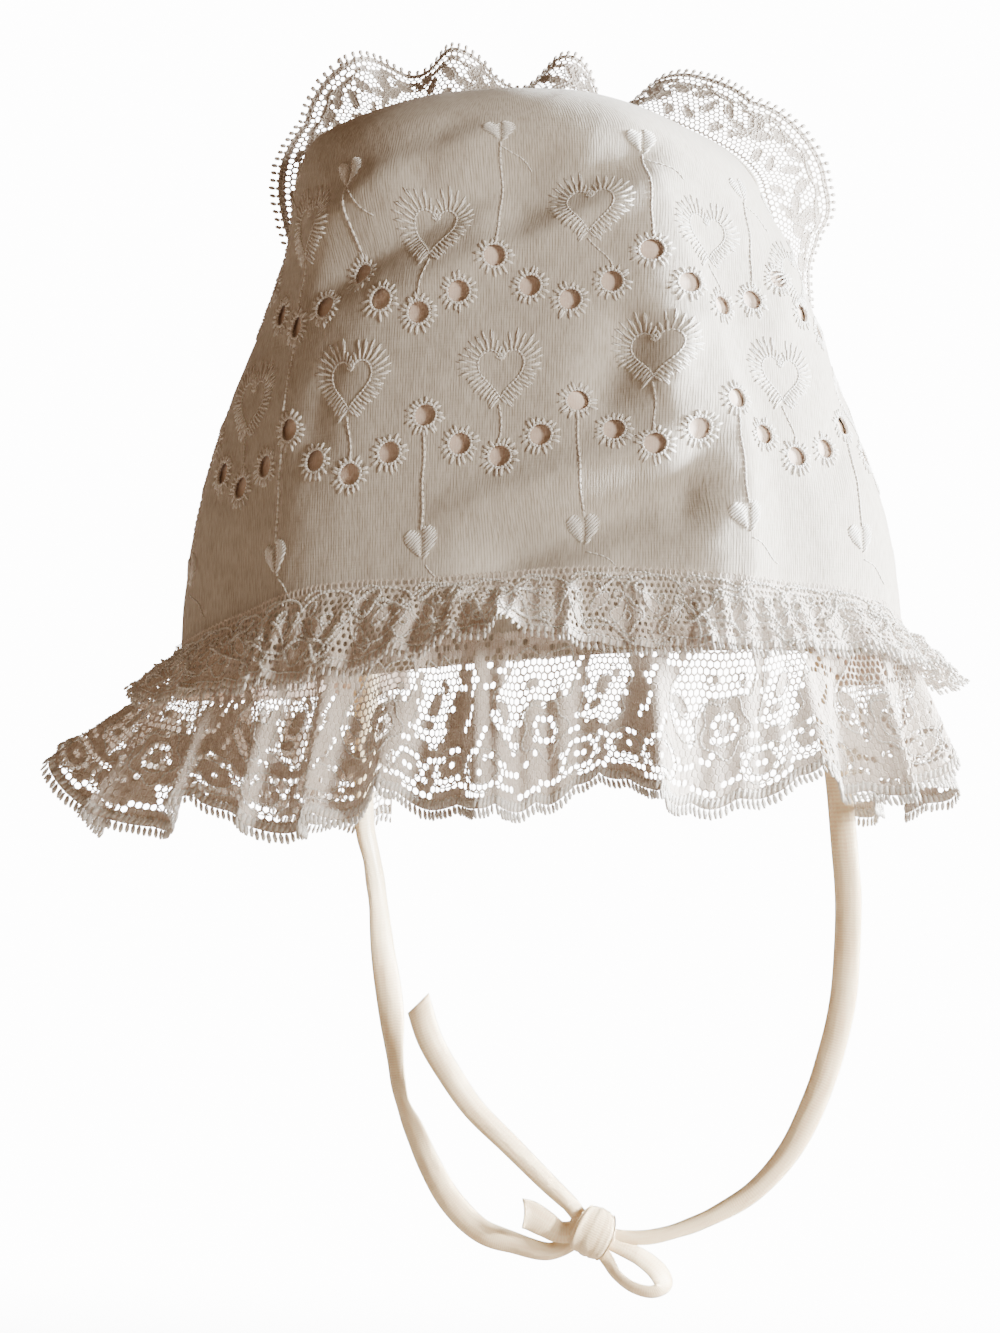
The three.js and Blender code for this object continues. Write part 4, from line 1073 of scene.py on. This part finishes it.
def lower_solid(lace, u, q):
    x = in_repeat(u, lower_middles(lace))
    opened = np.zeros(len(x), bool)
    for middle, swing, turn, half in WAVY_ROWS:
        opened |= np.abs(q - middle - swing * np.sin(2 * np.pi * x / (LOWER_PATTERN / 3) + turn)) < half
    off = drift(x, q)
    for corners in NET_FIELDS:
        opened |= inside_field(x + off[0], q + off[1], corners)
    for centre, size, turn in NET_LEAVES:
        opened &= within(x, q, centre, size, turn)[0] > 1
    for centre, size, turn in OVALS:
        far, _ = within(x, q, centre, size, turn)
        opened = (opened & (far > 1)) | ((far > 1) & (far < 1 + 1.5 / size[1] * 0.75)) | (far < 0.3)
    for start, end in HOLE_ROWS:
        opened |= off_line(x, q, start, end) < HOLE_HALF
    opened |= (q > HEADER_FROM) & (np.random.default_rng(7).random(len(q)) < HEADER_OPEN)
    far, angle = within(x, q, FLOWER_PLACE, (1, 1))
    petals = FLOWER_SIZE * (1 + 0.16 * np.cos(5 * angle + 0.6))
    opened = (opened & (far > petals)) | ((far > FLOWER_EYE[0]) & (far < FLOWER_EYE[1]))
    return ~opened


def lower_outlines(lace):
    laid = []
    for middle in lower_middles(lace):
        shift = np.array([middle, 0])
        trace(laid, ring(FLOWER_PLACE, (FLOWER_SIZE, FLOWER_SIZE), -0.12, 60, 5, 0.16) + shift, 0.45, 0.5)
        trace(laid, ring(FLOWER_PLACE, (3.2, 3.2)) + shift, 0.3, 0.32)
        trace(laid, ring(FLOWER_PLACE, (1.35, 1.35), count=14) + shift, 0.3, 0.32, 0.6)
        for corners in NET_FIELDS:
            edge = np.array(corners + corners[:1])
            trace(laid, edge - np.stack(drift(*edge.T), -1) + shift, 0.4, 0.45)
        for centre, size, turn in NET_LEAVES:
            trace(laid, ring(centre, size, turn) + shift, 0.34, 0.38)
        for centre, size, turn in OVALS:
            trace(laid, ring(centre, size, turn) + shift, 0.34, 0.36)
            trace(laid, ring(centre, (size[0] + 1.6, size[1] + 1.6), turn) + shift, 0.3, 0.32)
    trace(laid, [(lace.far[0] + 0.5, 2.9), (lace.far[-1] - 0.5, 2.9)], 0.36, 0.36)
    picots(laid, lace, spacing=1.02, inner=3.5, outer=-0.4, width=0.72, height=0.7)
    return laid


def picots(laid, lace, spacing, inner, outer, width, height, slant=0.25):
    """Short bars of thread side by side over the edge of a frill."""
    for k in range(int(lace.length / spacing)):
        u = lace.far[0] + (k + 0.5) * spacing
        reach = outer + loose(0.18)
        stitch(laid, (u + slant, inner), (u - slant, (inner + reach) / 2), width, height, 0.05)
        stitch(laid, (u - slant, (inner + reach) / 2), (u + slant, reach), width, height, 0.05)


first, last = -float(NECK_END * half_length(-1, 0)), float(NECK_END * half_length(1, 0))
lower = Lace(lower_sheet, lower_depth, first, last, even_at=24, width=33)
lower_net = net_piece("neck_frill_lower_net", lower, lower_solid, lace_thread, rim=2.6, thread=0.19)
lower_rim = rim_piece("neck_frill_lower_rim", lower, lace_thread, inner=3.2, outer=1.5)
lower_threads = sew_lace("neck_frill_lower_outlines", lower, lower_outlines(lower), cordonnet)
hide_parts("neck_frill_lower")

# The upper tier is narrower, sits higher on the cloth and is gathered closer. Its edge has small scallops.
# Each row is a share of the way to a chin corner, its seam's height, its depth, and degrees out from down.
UPPER_SCALLOP, UPPER_REPEAT = 1.4, 13.65
UPPER_ROWS = (
    (-1, 14, 14.5, 18), (-0.75, 13, 15, 36), (-0.62, 12, 15.5, 48), (-0.5, 11, 13.5, 32),
    (-0.35, 15.5, 16.5, 21), (-0.22, 19, 20, 20), (-0.1, 18, 17.5, 32), (0, 17.5, 16.5, 46),
    (0.06, 17.5, 17, 42), (0.15, 17, 17.5, 22), (0.25, 15.5, 16, 20), (0.35, 14, 14.5, 23),
    (0.5, 12, 13, 25), (0.63, 5, 12.5, 50), (0.75, 8, 13, 42), (1, 14, 14.5, 18),
)
UPPER_FOLD = 14.5
UPPER_CREST = 2.6
# Its two high folds: place along the wall, how that leans with the depth, and width
UPPER_CRESTS = ((26, 0.9, 4.5), (-9, 0.7, 4.0))


def upper_sheet(along, reach):
    around = along / half_length(along, 0)
    foot = wall(around, read_rows(UPPER_ROWS, 1, around) / wall(around, 0)[3])
    grown = np.maximum(reach, 0) / read_rows(UPPER_ROWS, 2, around)
    phase = 2 * np.pi * along / UPPER_FOLD + 2.2 * np.sin(along / 21)
    wave = (1.1 + 1.3 * np.sin(phase)) * grown
    pleat = np.sin(2 * np.pi * along / 5.3 + 2.6 * np.sin(along / 8))
    wave = wave + 0.55 * pleat * np.minimum(grown * 2.5, 1)
    for at, lean, width in UPPER_CRESTS:
        wave = wave + UPPER_CREST * np.exp(-(((along - at - reach * lean) / width) ** 2)) * grown
    swell = dent_at(along, read_rows(UPPER_ROWS, 1, around))
    slant = 0.9 * np.cos(phase) * grown
    return falling(foot, swell, read_rows(UPPER_ROWS, 3, around), reach, wave, slant)


def upper_depth(along):
    around = along / half_length(along, 0)
    return scalloped(read_rows(UPPER_ROWS, 2, around), UPPER_SCALLOP, UPPER_REPEAT, along)


# One repeat of its pattern: two overlapping scallops of thick thread, a small flower and leaves, small
# rings, and loose threads that stray over it.
UPPER_PATTERN = 27.3
UPPER_FIRST = 4
UPPER_FLOWER = (0, 7.2)
UPPER_LEAVES = (
    ((-5.6, 9.6), (2.6, 1.1), 0.7), ((5.4, 9.4), (2.6, 1.1), 2.4), ((-10.8, 6.6), (2.2, 1.0), 2.0),
    ((10.8, 6.8), (2.2, 1.0), 1.1), ((-12.9, 12.6), (2.3, 1.1), 0.1),
)
UPPER_RINGS = (
    (-8.4, 4.8, 1.3), (-6.2, 12.6, 1.2), (-1.8, 11.6, 1.1), (2.8, 12.8, 1.3), (7.8, 10.6, 1.2),
    (8.8, 4.6, 1.4), (12.0, 10.4, 1.1), (-11.4, 10.0, 1.2),
)
UPPER_STRAYS = 6


def upper_middles(lace):
    return middles_of(lace, UPPER_FIRST, UPPER_PATTERN, past=12)


def upper_solid(lace, u, q):
    x = in_repeat(u, upper_middles(lace))
    far, angle = within(x, q, UPPER_FLOWER, (1, 1))
    solid = (q < 2.8) | (far < 3.1 * (1 + 0.2 * np.cos(4 * angle))) & (far > 0.8)
    near = np.mod(x + 3.4, 6.8) - 3.4
    solid |= (np.hypot(near, q - 2.2) < 1.9) & (q > 2)
    for centre, size, turn in UPPER_LEAVES:
        solid |= within(x, q, centre, size, turn)[0] < 1
    return solid


def upper_outlines(lace):
    laid = []
    for middle in upper_middles(lace):
        flower = middle, UPPER_FLOWER[1]
        trace(laid, ring(flower, (3.1, 3.1), 0.0, 50, 4, 0.2), 0.46, 0.5)
        trace(laid, ring(flower, (0.9, 0.9), count=12), 0.34, 0.36, 0.5)
        for centre, size, turn in UPPER_LEAVES:
            trace(laid, ring((middle + centre[0], centre[1]), size, turn), 0.38, 0.4)
        a = np.linspace(0, math.pi, 20)
        for start, reach in ((-13.6, 9.5), (0.0, 11.5)):
            for half, q, swing, width, height in (
                (6.8, 12.4, 2.9, 0.5, 0.55), (3.4, 14.4, 1.3, 0.4, 0.45), (6.8, reach, -5.0, 0.38, 0.4),
            ):
                arc = np.stack([middle + start + half - half * np.cos(a), q + swing * np.sin(a)], -1)
                trace(laid, arc, width, height)
        for x, q, size in UPPER_RINGS:
            oval = ring((middle + x + loose(0.5), q + loose(0.4)), (size, size * 0.75), loose(1.5), 14)
            trace(laid, oval, 0.5, 0.6, 0.6)
        for _ in range(UPPER_STRAYS):
            start = np.array([middle + loose(13), 8 + loose(5)])
            a = loose(0.9) + np.cumsum([0] + [loose(0.5) for _ in range(7)])
            step = np.stack([np.cos(a), np.sin(a)], -1) * 1.5
            stray = start + np.cumsum(step, axis=0)
            trace(laid, np.stack([stray[:, 0], np.clip(stray[:, 1], 1.5, 14.5)], -1), 0.5, 0.6, 0.7, 0.5)
    trace(laid, [(lace.far[0] + 0.5, 2.6), (lace.far[-1] - 0.5, 2.6)], 0.4, 0.42)
    picots(laid, lace, spacing=1.35, inner=2.4, outer=-0.6, width=0.62, height=0.6, slant=0.1)
    return laid


upper = Lace(upper_sheet, upper_depth, first, last, even_at=12, width=16)
upper_net = net_piece("neck_frill_upper_net", upper, upper_solid, lace_thread, rim=2.1, thread=0.31)
upper_rim = rim_piece("neck_frill_upper_rim", upper, lace_thread, inner=2.6, outer=1.3)
upper_threads = sew_lace("neck_frill_upper_outlines", upper, upper_outlines(upper), cordonnet)
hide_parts("neck_frill_upper")

# The face frill is the same kind of lace, gathered all round the face edge from chin corner to chin corner.
# It stands out past the cloth, so from behind it shows over the crown and beside it.
# Each fold is a place along the edge from the middle of the crown, degrees out from forward, and how far out.
FACE_WIDTH, FACE_SCALLOP, FACE_REPEAT, FACE_END = 21.5, 3.5, 27.3, 10
CLOTH_THICK, FACE_SEAM_GAP = 1.2, 0.7
FACE_FOLDS = (
    (-170, 40, 0), (-140, 60, 2), (-124, 70, -3), (-108, 80, 3), (-94, 88, -2), (-80, 92, 2), (-68, 92, -1),
    (-56, 88, 3), (-46, 80, 3), (-39, 72, 0), (-33, 50, -5), (-25, 38, 5), (-17, 36, 2), (-9, 28, -3),
    (0, 31, 3), (7, 30, 0), (13, 22, -6), (22, 35, 0), (32, 38, 2), (44, 44, 1), (56, 42, 0),
    (65, 36, 1), (74, 21, -2), (84, 7, 1), (94, 6, -2), (106, 6, 2), (120, 8, -2), (136, 10, 2), (170, 12, 0),
)


def face_edge():
    """Face edge of the cloth from the left chin corner over the crown to the right one."""
    def side(around):
        share = np.arange(41) / 40
        low = FACE_END / wall(np.array([around]), 0.0)[3][0]
        up = wall(np.full(len(share), around), low * (1 - share) + share)[0]
        over = crown(np.full(24, around), np.arange(1, 25) / 24)
        return np.concatenate([up, over])

    left, right = side(-1.0), side(1.0)
    points = np.concatenate([left, right[::-1][1:]])
    far = np.concatenate([[0], np.cumsum(np.linalg.norm(np.diff(points, axis=0), axis=1))])
    return points, far - far[len(left) - 1]


EDGE_POINTS, EDGE_FAR = face_edge()

# The face edge of the cloth is rolled into a narrow hem of its own cotton, from chin corner to chin corner.
# The face frill is sewn against the front of it.
HEM_RADIUS = 0.75


def along_edge(at):
    return np.stack([np.interp(at, EDGE_FAR, EDGE_POINTS[:, c]) for c in range(3)], -1)


bm, grid = grid_of(260, 10)
at = EDGE_FAR[0] + (grid[:, 0] + 0.5) * (EDGE_FAR[-1] - EDGE_FAR[0])
turn = 2 * math.pi * (grid[:, 1] + 0.5)
run = unit(along_edge(at + 2) - along_edge(at - 2))
out = unit(np.cross(run, [0.0, 1.0, 0.0]))
forward = np.cross(out, run)
swell = HEM_RADIUS * (1 + 0.12 * np.sin(at * 2.1) * np.sin(at * 0.37))
roll = out * np.cos(turn)[:, None] + forward * np.sin(turn)[:, None]
move_to(bm, (along_edge(at) + roll * swell[:, None]) * MM)
flat = close_tube(bm, np.stack([at, turn * HEM_RADIUS, 0 * at], -1))
face_hem = finish_piece(bm, "bonnet_face_hem", cotton, flat)


def face_sheet(along, reach):
    last = len(EDGE_FAR) - 1
    i = np.clip(np.searchsorted(EDGE_FAR, along, side="right") - 1, 0, last - 1)
    share = (along - EDGE_FAR[i]) / (EDGE_FAR[i + 1] - EDGE_FAR[i])
    place = EDGE_POINTS[i] * (1 - share)[:, None] + EDGE_POINTS[i + 1] * share[:, None]

    def run_at(k):
        way = EDGE_POINTS[np.minimum(k + 3, last)] - EDGE_POINTS[np.maximum(k - 2, 0)]
        way[:, 1] = 0
        return unit(way)

    run = unit(run_at(i) * (1 - share)[:, None] + run_at(np.minimum(i + 1, last)) * share[:, None])
    out = np.stack([-run[:, 2], 0 * share, run[:, 0]], -1)
    lean = np.radians(read_rows(FACE_FOLDS, 1, along)) * np.minimum(reach / 4, 1)
    grown = np.clip(np.maximum(reach - 1.5, 0) / FACE_WIDTH, 0, 1.2)
    wave = read_rows(FACE_FOLDS, 2, along) * grown**0.85
    slant = read_rows(FACE_FOLDS, 2, along + 3.5) * grown * 0.3
    forward = np.array([0.0, 1.0, 0.0])
    sine, cosine = np.sin(lean)[:, None], np.cos(lean)[:, None]
    fall = out * sine + forward * cosine
    off = out * cosine - forward * sine
    return (place - out * CLOTH_THICK / 2 + forward * FACE_SEAM_GAP + fall * reach[:, None]
            + off * wave[:, None] + run * slant[:, None])


def face_depth(along):
    return scalloped(FACE_WIDTH, FACE_SCALLOP, FACE_REPEAT, along)


# One repeat of its pattern: a forked branch, leaves, and a thick thread that follows the edge inside two rows
# of holes.
FACE_LEAVES = (
    ((-8.4, 11.0), (2.9, 1.2), 1.9), ((-3.4, 9.2), (2.6, 1.2), 0.9), ((3.6, 8.2), (3.6, 1.9), 1.2),
    ((1.2, 12.4), (3.0, 1.2), 0.35), ((6.8, 11.2), (2.8, 1.5), 2.3), ((9.8, 7.6), (2.6, 1.4), 0.3),
    ((-11.6, 7.4), (2.6, 1.3), 2.6), ((10.4, 16.6), (2.6, 1.2), 1.2), ((-3.6, 16.2), (2.4, 1.1), 2.2),
    ((-12.2, 15.4), (2.6, 1.1), 0.7),
)
FACE_BRANCH = ((1.2, 15.6), (4.2, 12.6), (5.0, 9.6), (3.4, 7.6), (4.6, 4.4))
# The face frill's thread is the same white lace as the neck frill's, but coloured darker and browner: painted
# shade for the frill seen against the light.
FACE_LACE_PAINTED_SHADE_LIGHT = (0.58, 0.525, 0.475, 1)
FACE_LACE_PAINTED_SHADE_DARK = (0.44, 0.385, 0.335, 1)
FACE_CORD_PAINTED_SHADE_LIGHT = (0.74, 0.70, 0.655, 1)
FACE_CORD_PAINTED_SHADE_DARK = (0.58, 0.53, 0.48, 1)


def face_middles(lace):
    return middles_of(lace, 0, FACE_REPEAT, past=12)


def edge_wave(x):
    return 5.6 + 0.7 * np.sin(2 * np.pi * x / 9.1)


def face_solid(lace, u, q):
    x = in_repeat(u, face_middles(lace))
    solid = (q < 2.4) | (np.abs(q - edge_wave(x)) < 0.6)
    for start, end in zip(FACE_BRANCH, FACE_BRANCH[1:]):
        solid |= off_line(x, q, start, end) < 1.1
    for centre, size, turn in FACE_LEAVES:
        solid |= within(x, q, centre, size, turn)[0] < 1
    return solid


def face_outlines(lace):
    laid = []
    for middle in face_middles(lace):
        for centre, size, turn in FACE_LEAVES:
            trace(laid, ring((middle + centre[0], centre[1]), size, turn), 0.42, 0.45)
        for side in (-0.9, 0.9):
            trace(laid, [(middle + x + side, q) for x, q in FACE_BRANCH], 0.42, 0.45)
        wavy = np.linspace(-FACE_REPEAT / 2, FACE_REPEAT / 2, 40)
        trace(laid, np.stack([middle + wavy, edge_wave(wavy)], -1), 0.7, 0.65)
    trace(laid, [(lace.far[0] + 0.5, 2.3), (lace.far[-1] - 0.5, 2.3)], 0.55, 0.5)
    picots(laid, lace, spacing=1.75, inner=2.1, outer=-0.75, width=0.82, height=0.7, slant=0.08)
    return laid


# Its lace and outline threads take those darker colours: painted shade, not a different lace.
face_thread_painted_shade = woven("face_lace_thread_painted_shade", FACE_LACE_PAINTED_SHADE_LIGHT, FACE_LACE_PAINTED_SHADE_DARK, roughness=0.82, along=2.2,
                    across=2.2, depth=0.00006)
face_cord_painted_shade = woven("face_outline_thread_painted_shade", FACE_CORD_PAINTED_SHADE_LIGHT, FACE_CORD_PAINTED_SHADE_DARK, roughness=0.6, along=3.0,
                  across=3.0, depth=0.00005)
face = Lace(face_sheet, face_depth, float(EDGE_FAR[0]), float(EDGE_FAR[-1]), even_at=18, width=23)
face_net = net_piece("face_frill_net", face, face_solid, face_thread_painted_shade, rim=1.9, thread=0.23)
face_rim = rim_piece("face_frill_rim", face, face_thread_painted_shade, inner=2.3, outer=1.2)
face_threads = sew_lace("face_frill_outlines", face, face_outlines(face), face_cord_painted_shade)
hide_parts("face_frill")

# The stage: a pale sweep of floor that curves up behind, and soft light mostly from the right. A painted glow
# makes the paper glow behind the bonnet where the camera sees it, but light it little, and a painted warm
# bounce makes what it throws back warm.
PAPER_COLOUR = (0.9, 0.9, 0.89, 1)
PAPER_PAINTED_BOUNCE = (0.72, 0.60, 0.49, 1)
PAPER_LEAST = 0.16
PAPER_ASIDE = 0.4
PAPER_BACK, PAPER_SIDES = (0.1, 0.5), (1.3, 0.7)
PAPER_DIM, PAPER_BRIGHT = 0.1, 14.0
SWEEP_LENGTH, SWEEP_FLAT, SWEEP_BEND, SWEEP_RADIUS = 6.0, 3.4, 1.2, 0.76
SWEEP_WIDTH, SWEEP_FRONT, SWEEP_DROP = 7, 2.0, 0.36

bm, grid = grid_of(2, 60)
share = (grid[:, 1] + 0.5) * SWEEP_LENGTH
bend = np.clip((share - SWEEP_FLAT) / SWEEP_BEND, 0, 1) * math.pi / 2
y = np.minimum(share, SWEEP_FLAT) - SWEEP_FRONT + SWEEP_RADIUS * np.sin(bend)
z = SWEEP_RADIUS * (1 - np.cos(bend)) + np.maximum(share - SWEEP_FLAT - SWEEP_BEND, 0)
move_to(bm, np.stack([grid[:, 0] * SWEEP_WIDTH, y, z - SWEEP_DROP], -1))
bmesh.ops.recalc_face_normals(bm, faces=bm.faces)
mesh = bpy.data.meshes.new("floor_sweep")
bm.to_mesh(mesh)
bm.free()
mesh.polygons.foreach_set("use_smooth", [True] * len(mesh.polygons))
floor = bpy.data.objects.new("floor_sweep", mesh)
bpy.context.scene.collection.objects.link(floor)
paper, paper_tree, paper_shader = new_material("pale_paper", PAPER_COLOUR, 0.9)
mesh.materials.append(paper)
paper_place = node(paper_tree, "ShaderNodeTexCoord")
paper_axes = node(paper_tree, "ShaderNodeSeparateXYZ", {"Vector": paper_place.outputs["Object"]}).outputs


def paper_fade(value, start, end):
    """From 0 to 1, smoothly, as a value goes from one number to another."""
    sockets = {"From Min": start, "From Max": end, "Value": value}
    return node(paper_tree, "ShaderNodeMapRange", sockets, interpolation_type="SMOOTHSTEP").outputs["Result"]


# Painted glow: the paper glows brightest behind the bonnet and a little everywhere else, strongly to the
# camera and faintly on the bonnet.
paper_back = paper_fade(paper_axes["Y"], *PAPER_BACK)
paper_far = maths(paper_tree, "ABSOLUTE", maths(paper_tree, "ADD", paper_axes["X"], PAPER_ASIDE))
paper_both = maths(paper_tree, "MULTIPLY", paper_back, paper_fade(paper_far, *PAPER_SIDES))
paper_painted_glow = maths(paper_tree, "MAXIMUM", paper_both, PAPER_LEAST)
paper_ray = node(paper_tree, "ShaderNodeLightPath").outputs["Is Camera Ray"]
paper_power = node(paper_tree, "ShaderNodeMapRange",
                   {"To Min": PAPER_DIM, "To Max": PAPER_BRIGHT, "Value": paper_ray})
# Painted warm bounce: for every ray but the camera's the paper takes a darker, browner colour, so the light
# it throws back warms the bonnet's shade.
paper_painted_bounce = node(paper_tree, "ShaderNodeMix", {"A": PAPER_PAINTED_BOUNCE, "B": PAPER_COLOUR, "Factor": paper_ray},
                    data_type="RGBA")
paper_tree.links.new(paper_painted_glow, paper_shader.inputs["Emission Color"])
paper_tree.links.new(paper_power.outputs["Result"], paper_shader.inputs["Emission Strength"])
paper_tree.links.new(paper_painted_bounce.outputs["Result"], paper_shader.inputs["Base Color"])


def soft_light(name, place, size, power, colour, aim=(0, 0, -0.1), spread=180):
    data = bpy.data.lights.new(name, "AREA")
    data.shape = "DISK"
    data.size = size
    data.energy = power
    data.color = colour
    data.spread = math.radians(spread)
    lamp = bpy.data.objects.new(name, data)
    lamp.location = place
    lamp.rotation_euler = (Vector(aim) - Vector(place)).to_track_quat("-Z", "Y").to_euler()
    bpy.context.scene.collection.objects.link(lamp)


soft_light("key_from_right", (1.13, 0.24, 0.05), size=0.3, power=8.5, colour=(0.96, 0.99, 1.0), spread=45)
soft_light("fill_from_front", (1.35, -0.8, 0.18), size=0.3, power=3.5, colour=(1.0, 0.94, 0.85), spread=60)
soft_light("low_on_ties", (1.15, -0.4, 0.05), size=0.12, power=0.3, colour=(1.0, 0.96, 0.88), spread=10,
           aim=(0.0, 0.03, -0.27))

# What surrounds the stage is pale to look at, and lights the bonnet only a little and warmly.
world = bpy.data.worlds.new("studio")
bpy.context.scene.world = world
world.use_nodes = True
world_tree = world.node_tree
surround = world_tree.nodes["Background"]
surround.inputs["Color"].default_value = (1.0, 0.63, 0.37, 1)
surround.inputs["Strength"].default_value = 0.205
seen = node(world_tree, "ShaderNodeBackground", {"Color": (0.95, 0.95, 0.94, 1), "Strength": 2.3})
world_ray = node(world_tree, "ShaderNodeLightPath")
world_mix = node(world_tree, "ShaderNodeMixShader",
                 {"Fac": world_ray.outputs["Is Camera Ray"], 1: surround.outputs["Background"],
                  2: seen.outputs["Background"]})
world_tree.links.new(world_mix.outputs["Shader"], world_tree.nodes["World Output"].inputs["Surface"])
